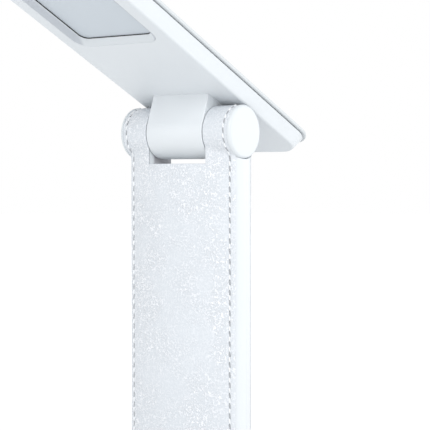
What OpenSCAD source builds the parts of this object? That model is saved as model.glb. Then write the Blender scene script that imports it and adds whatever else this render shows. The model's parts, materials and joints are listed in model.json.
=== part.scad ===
// Folding LED desk lamp: a flat head on a leather-wrapped arm, on a low weighted base.
// The frame's origin is the centre of the base's footprint on the table, +X runs along
// the hinge axes, +Y points to the back and +Z points up. Sizes are in millimetres.
// The lamp is drawn in use: arm upright, head tipped up at its front.

/* [Base] */
// Width of the base at its tray
base_w = 78; // [70:1:110]
// Length of the base, front to back
base_l = 214; // [190:1:218]
// Height of the base body above its feet
base_h = 16.5; // [16:0.5:26]
// Height that the rubber foot ring stands out below the tray
foot_h = 1.5; // [1:0.5:4]
// Width of the foot ring's band
foot_band = 11; // [9:1:14]
// Distance from the back edge of the base to the lower hinge axis
hinge_set = 29; // [28:1:34]
// Radius of the base's corners, seen from above
base_corner = 14; // [12:1:18]
// Wall of the base casing
base_wall = 1.8; // [1.6:0.1:2.4]

/* [Arm] */
// Distance between the two hinge axes
arm_len = 195; // [190:1:260]
// Width of the leather strip on the arm
strip_w = 64.6; // [64:0.2:72]
// Thickness of the leather
leather_t = 1; // [0.8:0.1:1.4]
// Distance from the hinge axis to the arm's front face, at its side edges
arm_front = 6.4; // [5.8:0.1:7.4]
// Rise of the arm's rounded front in its middle
crown = 6; // [3:0.5:6]
// Distance from the hinge axis to the arm's flat back face
arm_back = 8; // [7.4:0.1:10]
// Swell of the arm's bare side edges past the leather
side_swell = 2; // [1.4:0.1:2.4]
// Wall of the arm's casing halves
arm_wall = 1.8; // [1.4:0.1:2.2]

/* [Hinges] */
// Outer radius of the leather-wrapped barrels
barrel_r = 13; // [12.6:0.1:13.4]
// Width of the bare knuckle in the middle of each hinge
knuckle_w = 34.4; // [30:0.4:36]
// Gap between the knuckle and the barrel beside it
side_gap = 0.4; // [0.3:0.05:0.6]
// Gap between the knuckle's round and the floor of the arm's notch
notch_gap = 2.3; // [1.8:0.1:3]
// Radius of the hollow hinge shaft
shaft_r = 3; // [2.6:0.1:3.2]
// Radius of the bore inside the shaft, where the wire runs
shaft_bore = 1.5; // [1.3:0.1:1.7]
// Radial clearance of the shaft in its bearings
run_fit = 0.05; // [0.02:0.01:0.1]
// Thickness of the round end caps outside the leather
cap_t = 2; // [1.6:0.1:2.6]

/* [Head] */
// Tilt of the head in use, front end up
head_tilt = 25; // [0:1:40]
// Width of the head's top cover
head_w = 72; // [70:1:78]
// Length of the cover ahead of the hinge axis
head_front = 168; // [150:1:170]
// Length of the cover behind the hinge axis
head_rear = 56; // [50:1:60]
// Radius of the cover's corners
head_corner = 13; // [11:1:18]
// Distance from the upper hinge axis to the head's underside
head_reach = 13.84; // [13.8:0.02:15]
// Depth of the lower shell, from the underside to the seam
shell_h = 6.8; // [6.6:0.1:9]
// Width of the open seam between the shell and the cover
seam = 0.4; // [0.3:0.05:0.6]
// Thickness of the cover's rim
cover_t = 2; // [1.8:0.1:2.6]
// How far the cover's rim stands out past the shell
cover_lip = 1; // [0.6:0.1:1.4]
// How far the shell's sides slope in towards the underside
side_slope = 3.6; // [2.4:0.1:4.4]
// Wall of the head's shell
head_wall = 1.6; // [1.4:0.1:2]
// Width of the light window at the underside
window_w = 49.2; // [44:0.2:51]
// Distance from the hinge axis to the window's back edge
window_start = 64.5; // [58:0.5:80]
// Bare margin between the window and the flat underside's front edge
window_margin = 7; // [6:0.5:14]
// Depth of the window's sloped surround
bevel = 3.1; // [2.6:0.1:3.2]

/* [Fold] */
// Clearance left between the folded head and the base
fold_gap = 1.2; // [1:0.1:4]

/* [Hidden] */
$fn = 72;
hull_fn = 32;

// Clearances that the pieces share
ease = 0.2;
slip = 0.05;
eps = 0.01;

// Heights and places of the hinges
head_t = shell_h + seam + cover_t;
axis_y = base_l / 2 - hinge_set;
base_top = foot_h + base_h;
pedestal = head_reach + head_t + fold_gap;
lower_z = base_top + pedestal;
upper_z = lower_z + arm_len;

// Wire and its ducts
wire_r = 0.9;
duct_r = 1.3;
wire_bend = 2;

// Hinge barrels, measured outwards from the middle of the lamp. The wire turns down in the
// barrel's outer end, the nut and the disc spring lie inside that, and the bearing is the rest.
core_r = barrel_r - leather_t;
barrel_in = knuckle_w / 2 + side_gap;
barrel_out = strip_w / 2;
side_wall = 2.1;
cavity_half = barrel_out - side_wall;
duct_x = cavity_half - duct_r + slip;
shaft_end = duct_x - wire_bend - ease;
thread_end = 0.4;
nut_t = 2.2;
nut_af = 10;
spring_t = 1.4;
spring_sheet = 0.7;
socket_x = shaft_end - thread_end - nut_t - spring_t - 3 * slip;
socket_r = 8.2;
washer_r = 9;
cap_plug = 2.4;
cap_wall = 1.2;
cap_round = 1;
notch_z = barrel_r + notch_gap;

// Arm core: a rounded front on an arc, a flat back, and walls that follow both
arm_apex = arm_front + crown;
crown_r = (barrel_out * barrel_out + crown * crown) / (2 * crown);
crown_y = crown_r - arm_apex;
core_apex = arm_apex - leather_t;
core_front = sqrt(pow(crown_r - leather_t, 2) - pow(barrel_out, 2)) - crown_y;
core_back = arm_back - leather_t;
core_mid = (core_back - core_front) / 2;
wall_z = notch_z + arm_wall;
web_in = barrel_in + arm_wall + ease;
web_half = duct_x - duct_r - 5 * ease;
web_t = core_front + core_back - 2 * arm_wall - 2 * ease;
web_h = 6;
web_z = wall_z + ease + web_h;
tang_half = 19;
tang_t = 3.6;
tang_l = 26;
tang_screw_x = 13;
post_r = 3;
arm_screw_l = 11;

// Screws: shank, head and countersink
arm_screw_r = 1.25;
arm_screw_head_r = 2.3;
arm_screw_head_h = 1.2;
head_sink = 1.35;
small_screw_r = 0.8;
small_head_r = 1.6;
small_head_h = 0.35;
small_screw_l = 3.4;
board_screw_r = 1;
board_head_r = 1.9;
board_head_h = 0.9;
board_screw_l = 4.6;

// Knuckle block, its neck through the casing, and the plate that clamps it from inside
foot_half = 14.5;
neck_inset = 1;
mount_half = 19;
mount_w = 22;
mount_t = 1.8;
mount_corner = 3;
knuckle_screw_x = 11;
knuckle_screw_y = 9;
knuckle_screw_l = 9;

// Head levels above the upper hinge axis, in the head's own frame
under_z = head_reach;
floor_z = under_z + head_wall;
frame_z = under_z + bevel;
rim_z = under_z + shell_h;
cover_z = rim_z + seam;
top_z = cover_z + cover_t;
diffuser_t = 1.2;
guide_t = 1.4;
sheet_t = 0.3;
plate_t = 0.5;
guide_z = frame_z + diffuser_t;
sheet_z = guide_z + guide_t;
window_end = head_front - cover_lip - side_slope - window_margin;
window_corner = 7;
stack_edge = 2.4;
stack_gap = 0.4;
rib_t = 1.2;
frame_edge = 1;
back_boss_r = 2;
lip_h = 1;
lip_t = 1.2;
led_t = 0.8;
led_l = 3.2;
led_count = 12;
strip_pcb_t = 1;
lead_half = 4;

// Base levels
tray_t = 2;
tray_rim = 3;
shell_z = foot_h + tray_rim + seam;
base_inset = 1;
base_slope_h = 6;
foot_pocket = 0.8;
tray_lip_t = 1.5;
tray_lip_h = 1.2;
tray_z = foot_h + tray_t;
boss_r = 3.4;
boss_z = foot_h + 4;
base_screw_inset = 12;
base_screw_x = base_w / 2 - base_screw_inset;
base_screw_y = base_l / 2 - base_screw_inset;

// Main board, and what looks out of the base's back wall
standoff_h = 2.8;
standoff_r = 2.6;
board_z = tray_z + standoff_h;
board_t = 1.6;
parts_z = board_z + board_t + slip;
board_half = base_screw_x + 2;
back_wall_y = base_l / 2 - base_inset;
board_back = back_wall_y - base_wall - 4 * ease;
board_ahead = 26;
board_front = axis_y - board_ahead;
board_hole_x = board_half - 4;
port_ease = 0.25;
usb_w = 8.94;
usb_h = 3.2;
usb_l = 7.4;
usb_sheet = 0.3;
usb_set = 0.4;
port_z = parts_z + usb_h / 2;
switch_x = base_screw_x - 6;
switch_w = 9;
switch_l = 4;
switch_h = 3.6;
slider_w = 3.6;
slider_h = 2;
slider_travel = 3;
slider_out = 0.7;
slider_in = 2.5;
lens_x = -switch_x + 3;
lens_r = 1.25;
lens_in = 1.6;

// Touch panel, in a seat that is thickened from inside
touch_set = 24;
touch_y = -base_l / 2 + touch_set;
touch_w = 46;
touch_l = 15;
touch_t = 1;
touch_corner = 4;
touch_ledge = 2;
touch_back = 1.4;
touch_board_t = 1;
cable_x = 10;
cable_w = 6;
cable_t = 0.3;
cable_z = base_top - base_wall - touch_back - 4 * cable_t;

// Battery behind the board's front edge, and the counterweight in the room ahead of it
tape_t = 0.9;
battery_gap = 4;
weight_t = 6;
weight_front = touch_y + touch_l / 2 + battery_gap;
battery_l = 58;
battery_w = 50;
battery_t = 8;
battery_front = board_front - battery_l - battery_gap;
weight_back = battery_front - battery_gap;
weight_inset = 11;
weight_hole_r = 3;

// --- shared shapes

// Rounded rectangle from y0 to y1, as wide as w, with exact corner arcs
module plate_outline(w, y0, y1, r) {
    translate([-w / 2 + r, y0]) square([w - 2 * r, y1 - y0]);
    translate([-w / 2, y0 + r]) square([w, y1 - y0 - 2 * r]);
    for (x = [-w / 2 + r, w / 2 - r], y = [y0 + r, y1 - r]) translate([x, y]) circle(r);
}

// Flat plate with rounded corners, from z0 to z1
module plate(w, y0, y1, r, z0, z1) {
    translate([0, 0, z0]) linear_extrude(z1 - z0) plate_outline(w, y0, y1, r);
}

// Block whose outline shrinks by slope on every side between z0 and z1
module sloped_block(w, y0, y1, r, slope, z0, z1) {
    hull() {
        plate(w, y0, y1, r, z0, z0 + eps, $fn = hull_fn);
        plate(w - 2 * slope, y0 + slope, y1 - slope, r - slope, z1 - eps, z1, $fn = hull_fn);
    }
}

// Round bar along X
module bar_x(r, x0, x1) {
    translate([x0, 0, 0]) rotate([0, 90, 0]) cylinder(r = r, h = x1 - x0);
}

// The same shape on the left and on the right
module both_sides() {
    children();
    mirror([1, 0, 0]) children();
}

// Carries a shape drawn in the YZ plane along X, from -half to half
module along_x(half) {
    translate([-half, 0, 0]) rotate([90, 0, 90]) linear_extrude(2 * half) children();
}

// Pan-head screw along -Z from the underside of its head at the origin
module screw(shank_r, length, head_r, head_h) {
    difference() {
        union() {
            cylinder(r = head_r, h = head_h);
            translate([0, 0, -length]) cylinder(r = shank_r, h = length + eps);
        }
        for (a = [0, 90])
            rotate([0, 0, a]) translate([-head_r * 0.6, -0.25, head_h * 0.45])
                cube([head_r * 1.2, 0.5, head_h]);
    }
}

// Frames of the three bodies
module at_lower_hinge() {
    translate([0, axis_y, lower_z]) children();
}

module at_upper_hinge() {
    translate([0, axis_y, upper_z]) children();
}

// Head frame: -Y towards the head's front end, +Z out of its top
module in_head() {
    at_upper_hinge() rotate([-head_tilt, 0, 0]) children();
}

// Base knuckle's frame: +Z points down to the base
module in_pedestal() {
    at_lower_hinge() rotate([180, 0, 0]) children();
}

// --- hinge parts, drawn with the axis on X through the origin

// Bare middle knuckle that reaches up to the casing at z = reach, with a neck through it
module knuckle(reach, casing_t) {
    difference() {
        union() {
            along_x(knuckle_w / 2) {
                circle(barrel_r);
                polygon([[-barrel_r, 0], [barrel_r, 0], [foot_half, reach], [-foot_half, reach]]);
            }
            neck(reach - eps, casing_t + eps - slip, 0);
        }
        bar_x(shaft_r + slip, -knuckle_w, knuckle_w);
        cylinder(r = duct_r, h = 2 * reach);
        at_knuckle_screws() translate([0, 0, reach + casing_t - knuckle_screw_l])
            cylinder(r = arm_screw_r, h = 2 * knuckle_screw_l);
    }
}

// The knuckle's neck, or with a gap its opening in the casing
module neck(z, height, gap) {
    translate([-knuckle_w / 2 + neck_inset - gap, -foot_half + neck_inset - gap, z])
        cube([knuckle_w - 2 * neck_inset + 2 * gap, 2 * foot_half - 2 * neck_inset + 2 * gap, height]);
}

module at_knuckle_screws() {
    for (x = [-knuckle_screw_x, knuckle_screw_x], y = [-knuckle_screw_y, knuckle_screw_y])
        translate([x, y, 0]) children();
}

// Steel plate inside the casing that the screws pull the knuckle against
module mount_plate(reach, casing_t) {
    difference() {
        plate(2 * mount_w, -mount_half, mount_half, mount_corner, reach + casing_t + slip,
            reach + casing_t + slip + mount_t);
        cylinder(r = duct_r, h = 3 * reach);
        at_knuckle_screws() cylinder(r = arm_screw_r + ease, h = 3 * reach);
    }
}

module knuckle_screws(reach, casing_t) {
    at_knuckle_screws() translate([0, 0, reach + casing_t + 2 * slip + mount_t])
        screw(arm_screw_r, knuckle_screw_l - 1, arm_screw_head_r, arm_screw_head_h);
}

// Hollow steel shaft with threaded ends and a side hole for the wire
module shaft() {
    difference() {
        bar_x(shaft_r, -shaft_end, shaft_end);
        bar_x(shaft_bore, -shaft_end - 1, shaft_end + 1);
        cylinder(r = duct_r, h = 2 * shaft_r);
    }
}

// Thin plastic washers between the knuckle and the barrels
module thrust_washers() {
    both_sides() difference() {
        bar_x(washer_r, knuckle_w / 2 + slip, barrel_in - slip);
        bar_x(shaft_r + run_fit, knuckle_w / 2 - 1, barrel_in + 1);
    }
}

// Disc springs that press the hinge together
module disc_springs() {
    both_sides() translate([socket_x + slip, 0, 0]) rotate([0, 90, 0])
        rotate_extrude() polygon([
            [shaft_r + run_fit, spring_t - 2 * slip - spring_sheet], [socket_r - spring_t, 0],
            [socket_r - spring_t, spring_sheet], [shaft_r + run_fit, spring_t - 2 * slip]
        ]);
}

// Hex nuts on the shaft's threaded ends
module shaft_nuts() {
    both_sides() difference() {
        translate([socket_x + spring_t + 2 * slip, 0, 0]) rotate([0, 90, 0])
            cylinder(d = nut_af / cos(30), h = nut_t, $fn = 6);
        bar_x(shaft_r + slip / 2, socket_x, shaft_end + 1);
    }
}

// Yoke in the arm's end: two barrels, the arms beside the notch, the web under it, and
// a tang that runs on into the arm, which lies towards -Z from here
module yoke() {
    difference() {
        union() {
            both_sides() bar_x(core_r - slip, barrel_in, barrel_out);
            both_sides() translate([web_in, core_mid - web_t / 2, -web_z])
                cube([web_half - web_in, web_t, web_z]);
            translate([-web_half, core_mid - web_t / 2, -web_z]) cube([2 * web_half, web_t, web_h]);
            translate([-tang_half, core_mid - tang_t / 2, -web_z - tang_l])
                cube([2 * tang_half, tang_t, tang_l + eps]);
        }
        both_sides() bar_x(shaft_r + run_fit, barrel_in - 1, socket_x + 1);
        both_sides() bar_x(socket_r, socket_x, barrel_out + 1);
        translate([-duct_x, 0, -2 * core_r]) cylinder(r = duct_r, h = 2 * core_r);
        for (x = [-tang_screw_x, tang_screw_x])
            translate([x, core_mid, -web_z - tang_l / 2]) rotate([90, 0, 0])
                cylinder(r = arm_screw_r + ease, h = 2 * tang_t, center = true);
    }
}

// Round caps that close the barrels' outer ends, with a plug into each socket
module end_caps() {
    both_sides() difference() {
        union() {
            translate([barrel_out + slip, 0, 0]) rotate([0, 90, 0]) rotate_extrude()
                union() {
                    square([barrel_r - slip, cap_t - slip - cap_round]);
                    square([barrel_r - slip - cap_round, cap_t - slip]);
                    translate([barrel_r - slip - cap_round, cap_t - slip - cap_round])
                        circle(cap_round, $fn = 48);
                }
            bar_x(socket_r - ease, barrel_out - cap_plug, barrel_out + 2 * slip);
        }
        bar_x(socket_r - ease - cap_wall, barrel_out - cap_plug - 1, barrel_out - cap_round / 2);
        translate([duct_x, 0, -socket_r]) cylinder(r = duct_r, h = socket_r);
    }
}

// --- arm, drawn with the lower hinge axis on X through the origin

// Cross-section of the arm, drawn in by the inset: rounded front, flat back
module crowned_section(inset, half_w) {
    intersection() {
        translate([0, crown_y]) circle(crown_r - inset, $fn = 240);
        translate([-half_w, -arm_apex]) square([2 * half_w, arm_apex + arm_back - inset]);
    }
}

// Cross-section of the bare core, whose side edges swell out past the leather
module core_section() {
    half_t = (core_front + core_back) / 2;
    swell_r = (half_t * half_t + side_swell * side_swell) / (2 * side_swell);
    crowned_section(leather_t, barrel_out);
    intersection() {
        translate([-base_w, -core_front]) square([2 * base_w, 2 * half_t]);
        for (x = [-1, 1])
            translate([x * (barrel_out + side_swell - swell_r), core_mid]) circle(swell_r, $fn = 96);
    }
}

// Notches at both ends of the arm, where the knuckles turn
module notches(half_w, depth) {
    translate([-half_w, -base_w, -base_w]) cube([2 * half_w, 2 * base_w, base_w + depth]);
    translate([-half_w, -base_w, arm_len - depth]) cube([2 * half_w, 2 * base_w, base_w + depth]);
}

// Both halves of the arm's casing in one piece, still without screw posts
module casing() {
    difference() {
        linear_extrude(arm_len) core_section();
        for (z = [0, arm_len]) translate([0, 0, z]) {
            bar_x(core_r + slip, -barrel_out - eps, barrel_out + eps);
            both_sides() bar_x(barrel_r + ease, barrel_out, barrel_out + 2 * side_swell);
        }
        notches(barrel_in, notch_z);
        difference() {
            translate([0, 0, -1]) linear_extrude(arm_len + 2)
                crowned_section(leather_t + arm_wall, cavity_half);
            notches(barrel_in + arm_wall, wall_z);
        }
    }
}

// Heights of the screws through the tangs
function tang_hole_z() = [web_z + tang_l / 2, arm_len - web_z - tang_l / 2];

// Carries a shape drawn along -Y to each tang screw
module at_arm_screws(y) {
    for (z = tang_hole_z(), x = [-tang_screw_x, tang_screw_x])
        translate([x, y, z]) rotate([90, 0, 0]) children();
}

// The casing between two planes across its thickness
module casing_slice(y0, y1) {
    intersection() {
        casing();
        translate([-base_w, y0, -1]) cube([2 * base_w, y1 - y0, arm_len + 2]);
    }
}

module arm_front_casing() {
    post_end = core_mid - tang_t / 2 - slip;
    color("whitesmoke") at_lower_hinge() difference() {
        union() {
            casing_slice(-core_apex - 1, core_mid);
            intersection() {
                at_arm_screws(post_end) cylinder(r = post_r, h = 2 * core_apex);
                linear_extrude(arm_len) core_section();
            }
        }
        at_arm_screws(core_mid) cylinder(r = arm_screw_r, h = core_mid + core_apex - 1.5 * arm_wall);
    }
}

module arm_rear_casing() {
    post_y = core_back - arm_wall / 2;
    color("whitesmoke") at_lower_hinge() difference() {
        union() {
            casing_slice(core_mid + slip, core_back + 1);
            at_arm_screws(post_y) cylinder(r = post_r + ease, h = post_y - core_mid - tang_t / 2 - slip);
        }
        at_arm_screws(core_back + 1) {
            cylinder(r = arm_screw_r + ease, h = 2 * core_back);
            cylinder(r = arm_screw_head_r + ease, h = 1 + head_sink + slip);
        }
    }
}

// Screws that clamp the casing halves on the tangs, under the leather
module arm_screws() {
    color("silver") at_lower_hinge() at_arm_screws(core_back - head_sink)
        rotate([180, 0, 0]) screw(arm_screw_r, arm_screw_l, arm_screw_head_r, arm_screw_head_h);
}

// Steel strip between the two tangs, rolled thinner in its middle
module arm_stiffener() {
    z0 = web_z + tang_l + ease;
    length = arm_len - 2 * z0;
    recess = tang_t / 6;
    border = tang_t + ease;
    color("lightsteelblue") at_lower_hinge()
        translate([-tang_half, core_mid - tang_t / 2, z0]) difference() {
            cube([2 * tang_half, tang_t, length]);
            for (y = [-1, tang_t - recess]) translate([border, y, border])
                cube([2 * tang_half - 2 * border, 1 + recess, length - 2 * border]);
        }
}

// Solid that the leather lies on, or with no inset the leather's own outside
module wrapped_solid(inset, half_w) {
    for (z = [0, arm_len]) translate([0, 0, z]) bar_x(barrel_r - inset, -half_w, half_w);
    linear_extrude(arm_len) crowned_section(inset, half_w);
}

// Leather that runs up the front, over the upper barrel, and down the back
module leather_strip() {
    color("white") at_lower_hinge() difference() {
        wrapped_solid(0, barrel_out);
        wrapped_solid(leather_t - slip, barrel_out + 1);
        notches(barrel_in, notch_z);
    }
}

// Round wire through a list of points
module wire(points) {
    for (i = [1 : len(points) - 1]) {
        run = points[i] - points[i - 1];
        translate(points[i - 1]) rotate([0, acos(run.z / norm(run)), atan2(run.y, run.x)])
            cylinder(r = wire_r, h = norm(run), $fn = 24);
    }
    for (i = [1 : 1 : len(points) - 2]) translate(points[i]) sphere(wire_r, $fn = 24);
}

// Wire from the lower shaft, up the arm beside the webs, and into the upper shaft
module arm_wire() {
    turn_x = duct_x - wire_bend;
    color("black") at_lower_hinge() mirror([1, 0, 0])
        wire([
            [2 * wire_r, 0, 0], [turn_x, 0, 0], [duct_x, 0, wire_bend],
            [duct_x, 0, arm_len - wire_bend], [turn_x, 0, arm_len], [2 * wire_r, 0, arm_len]
        ]);
}

// --- head, drawn in its own frame

head_back = head_rear - cover_lip;
head_nose = -(head_front - cover_lip);
shell_w = head_w - 2 * cover_lip;
guide_half = window_w / 2 - bevel + stack_edge;
stack_nose = -window_end + bevel - stack_edge;
stack_back = -window_start - bevel + stack_edge;
back_plate_half = guide_half + led_t + strip_pcb_t + ease + stack_gap + rib_t + 2 * back_boss_r - 0.8;

module head_shell() {
    rib_half = guide_half + led_t + strip_pcb_t + ease + stack_gap;
    rib_nose = stack_nose - stack_gap;
    rib_back = stack_back + stack_gap;
    floor_slope = side_slope * (rim_z - floor_z) / shell_h;
    color("whitesmoke") in_head() difference() {
        union() {
            difference() {
                sloped_block(shell_w - 2 * side_slope, head_nose + side_slope, head_back - side_slope,
                    head_corner - side_slope, -side_slope, under_z, rim_z);
                sloped_block(shell_w - 2 * head_wall - 2 * floor_slope,
                    head_nose + head_wall + floor_slope, head_back - head_wall - floor_slope,
                    head_corner - head_wall - floor_slope, -floor_slope, floor_z, rim_z + eps);
            }
            // window frame, the rib round the light stack, and screw bosses
            plate(window_w + 2 * frame_edge, -window_end - frame_edge, -window_start + frame_edge,
                window_corner + frame_edge, floor_z - 1, frame_z);
            difference() {
                plate(2 * rib_half + 2 * rib_t, rib_nose - rib_t, rib_back + rib_t, rib_t,
                    floor_z - 1, sheet_z + sheet_t);
                plate(2 * rib_half, rib_nose, rib_back, rib_t / 2, frame_z, top_z);
            }
            at_back_screws() translate([0, 0, floor_z - 1])
                cylinder(r = back_boss_r, h = sheet_z + sheet_t - floor_z + 1);
        }
        sloped_block(window_w + 2 * eps, -window_end - eps, -window_start + eps, window_corner,
            bevel + 2 * eps, under_z - eps, frame_z + eps);
        at_back_screws() translate([0, 0, floor_z]) cylinder(r = small_screw_r, h = shell_h);
        neck(under_z - 1, head_wall + 2, slip);
    }
}

module at_back_screws() {
    inset = back_boss_r;
    for (x = [-back_plate_half + inset, back_plate_half - inset])
        for (y = [-window_end + window_corner, -window_start - inset])
            translate([x, y, 0]) children();
}

// The cover's lip stands inside the shell's sloping wall
module head_cover() {
    inset = head_wall + ease + lip_h * side_slope / shell_h;
    inner = inset + lip_t;
    color("white") in_head() difference() {
        union() {
            plate(head_w, -head_front, head_rear, head_corner + cover_lip, cover_z, top_z);
            plate(shell_w - 2 * inset, head_nose + inset, head_back - inset, head_corner - inset,
                rim_z - lip_h, cover_z + eps);
        }
        plate(shell_w - 2 * inner, head_nose + inner, head_back - inner, head_corner - inner,
            rim_z - 2 * lip_h, cover_z);
    }
}

// Plate of the edge-lit light stack, which rises from the window
module stack_plate(half, z0, z1) {
    plate(2 * half, stack_nose, stack_back, rib_t / 2, z0, z1);
}

module diffuser() {
    color("lightgray") in_head() stack_plate(guide_half, frame_z + slip, guide_z);
}

module light_guide() {
    color("aliceblue") in_head() stack_plate(guide_half, guide_z + slip, sheet_z);
}

module reflector() {
    color("white") in_head()
        stack_plate(guide_half + led_t + slip, sheet_z + slip, sheet_z + sheet_t);
}

module led_strips() {
    color("seagreen") in_head() both_sides()
        translate([guide_half + led_t + ease, stack_nose, frame_z + slip])
            cube([strip_pcb_t, stack_back - stack_nose, sheet_z + sheet_t - frame_z - slip]);
}

module leds() {
    run = window_end - window_start - 2 * bevel;
    step = run / led_count;
    color("gold") in_head() both_sides()
        for (i = [0 : led_count - 1])
            translate([guide_half + ease / 2, -window_end + bevel + step * (i + 0.5) - led_l / 2,
                guide_z + slip])
                cube([led_t + ease / 2, led_l, guide_t - 2 * slip]);
}

module back_plate() {
    z0 = sheet_z + sheet_t + slip;
    edge = back_boss_r;
    color("silver") in_head() difference() {
        plate(2 * back_plate_half, -window_end + edge, -window_start + edge, edge, z0, z0 + plate_t);
        at_back_screws() translate([0, 0, z0 - 1])
            cylinder(r = small_screw_r + 1.5 * ease, h = 3 * plate_t + 1);
    }
}

module back_plate_screws() {
    z0 = sheet_z + sheet_t + 2 * slip + plate_t;
    color("dimgray") in_head() at_back_screws() translate([0, 0, z0])
        screw(small_screw_r, small_screw_l, small_head_r, small_head_h);
}

// Wire from the upper shaft, through the knuckle and its plate, to the LED strips
module head_wire() {
    run_z = floor_z + mount_t + ease + wire_r;
    color("black") in_head()
        wire([[0, 0, 0], [0, 0, run_z], [0, stack_back + stack_gap + rib_t + ease, run_z]]);
}

module head_knuckle() {
    color("whitesmoke") in_head() knuckle(head_reach, head_wall);
}

module head_mount_plate() {
    color("silver") in_head() mount_plate(head_reach, head_wall);
}

module head_knuckle_screws() {
    color("dimgray") in_head() knuckle_screws(head_reach, head_wall);
}

// --- base

base_half_l = base_l / 2;

module at_base_screws() {
    for (x = [-base_screw_x, base_screw_x], y = [-base_screw_y, base_screw_y])
        translate([x, y, 0]) children();
}

// Standoffs of the main board: two near its front corners, two beside the USB socket
module at_board_screws() {
    for (x = [-1, 1]) {
        translate([x * board_hole_x, board_front + 4, 0]) children();
        translate([x * (usb_w / 2 + 6), board_back - 5, 0]) children();
    }
}

module base_tray() {
    lip = base_inset + base_wall + ease;
    inner = lip + tray_lip_t;
    color("whitesmoke") difference() {
        union() {
            difference() {
                union() {
                    plate(base_w, -base_half_l, base_half_l, base_corner, foot_h, foot_h + tray_rim);
                    plate(base_w - 2 * lip, -base_half_l + lip, base_half_l - lip, base_corner - lip,
                        foot_h, shell_z + tray_lip_h);
                }
                plate(base_w - 2 * inner, -base_half_l + inner, base_half_l - inner,
                    base_corner - inner, tray_z, base_top);
            }
            at_base_screws() translate([0, 0, foot_h])
                cylinder(r = boss_r + tray_lip_t, h = boss_z - foot_h);
            at_board_screws() translate([0, 0, foot_h])
                cylinder(r = standoff_r, h = tray_t + standoff_h - slip);
        }
        foot_band(slip, foot_h + foot_pocket);
        at_base_screws() {
            cylinder(r = arm_screw_head_r + ease, h = foot_h + foot_pocket + head_sink + slip);
            cylinder(r = arm_screw_r + ease, h = base_top);
        }
        at_board_screws() translate([0, 0, foot_h + foot_pocket + tray_t / 4])
            cylinder(r = board_screw_r, h = base_h);
    }
}

module base_shell() {
    w = base_w - 2 * base_inset;
    y1 = back_wall_y;
    corner = base_corner - base_inset;
    straight_z = base_top - base_slope_h;
    inner_slope = side_slope * (base_slope_h - base_wall) / base_slope_h;
    color("whitesmoke") difference() {
        union() {
            difference() {
                union() {
                    plate(w, -y1, y1, corner, shell_z, straight_z + eps);
                    sloped_block(w, -y1, y1, corner, side_slope, straight_z, base_top);
                }
                plate(w - 2 * base_wall, -y1 + base_wall, y1 - base_wall, corner - base_wall,
                    shell_z - 1, straight_z + eps);
                sloped_block(w - 2 * base_wall, -y1 + base_wall, y1 - base_wall, corner - base_wall,
                    inner_slope, straight_z, base_top - base_wall);
            }
            at_base_screws() translate([0, 0, boss_z + slip])
                cylinder(r = boss_r, h = base_top - base_wall / 2 - boss_z);
            // the touch panel's seat is backed inside
            translate([0, 0, base_top - base_wall - touch_back]) linear_extrude(2 * touch_back)
                touch_outline(-touch_ledge / 2, touch_corner);
        }
        at_base_screws() cylinder(r = arm_screw_r, h = base_top - base_wall - 1);
        translate([0, 0, base_top - touch_t]) linear_extrude(2 * touch_t)
            touch_outline(0, touch_corner);
        translate([0, 0, base_top - 2 * base_wall - touch_back]) linear_extrude(base_h)
            touch_outline(touch_ledge, touch_corner - touch_ledge);
        in_pedestal() neck(pedestal - 1, base_wall + 2, slip);
        // openings in the back wall
        translate([0, y1, port_z]) rotate([90, 0, 0]) {
            port_cut(usb_w + 2 * port_ease, usb_h + 2 * port_ease);
            translate([switch_x, 0, 0])
                port_cut(slider_w + slider_travel + slider_h / 2 + 2 * port_ease,
                    slider_h + 2 * port_ease);
            translate([lens_x, 0, 0]) cylinder(r = lens_r + slip, h = 4 * base_wall, center = true);
        }
    }
}

// Outline of the touch panel, drawn in by the inset
module touch_outline(inset, corner) {
    plate_outline(touch_w - 2 * inset, touch_y - touch_l / 2 + inset, touch_y + touch_l / 2 - inset,
        corner);
}

// Flat slot with round ends
module slot_outline(w, h) {
    square([w - h, h], center = true);
    for (x = [-1, 1]) translate([x * (w - h) / 2, 0]) circle(d = h, $fn = 32);
}

module port_cut(w, h) {
    linear_extrude(4 * base_wall, center = true) slot_outline(w, h);
}

// Closed band that runs under the base's edge and hides its screws, or with a gap its groove
module foot_band(gap, height) {
    edge = base_screw_inset - foot_band / 2 - gap;
    inner = base_screw_inset + foot_band / 2 + gap;
    difference() {
        plate(base_w - 2 * edge, -base_half_l + edge, base_half_l - edge, base_corner - edge / 2,
            0, height);
        plate(base_w - 2 * inner, -base_half_l + inner, base_half_l - inner, base_corner / 7, -1,
            height + 1);
    }
}

module foot_ring() {
    color("dimgray") foot_band(0, foot_h + foot_pocket - slip);
}

module base_screws() {
    length = base_top - base_wall - 2 - foot_h - foot_pocket - head_sink;
    color("silver") at_base_screws() translate([0, 0, foot_h + foot_pocket + head_sink])
        rotate([180, 0, 0]) screw(arm_screw_r, length, arm_screw_head_r, arm_screw_head_h);
}

module counterweight() {
    z0 = tray_z + slip;
    color("gray") difference() {
        plate(base_w - 2 * weight_inset, weight_front, weight_back, weight_hole_r, z0, z0 + weight_t);
        for (y = [weight_front + weight_inset, weight_back - weight_inset])
            translate([0, y, 0]) cylinder(r = weight_hole_r, h = base_h);
    }
}

module battery() {
    z0 = tray_z + tape_t;
    color("lightslategray") plate(battery_w, battery_front, battery_front + battery_l, weight_hole_r,
        z0, z0 + battery_t);
}

// Foam tape that the battery sits on
module battery_tape() {
    inset = 5;
    color("black") plate(battery_w - 2 * inset, battery_front + inset,
        battery_front + battery_l - inset, 1, tray_z + slip, tray_z + tape_t - slip);
}

module main_board() {
    color("seagreen") difference() {
        translate([-board_half, board_front, board_z])
            cube([2 * board_half, board_back - board_front, board_t]);
        at_base_screws() cylinder(r = boss_r + 3 * ease, h = base_h);
        at_board_screws() cylinder(r = board_screw_r + ease, h = base_h);
    }
}

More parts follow.
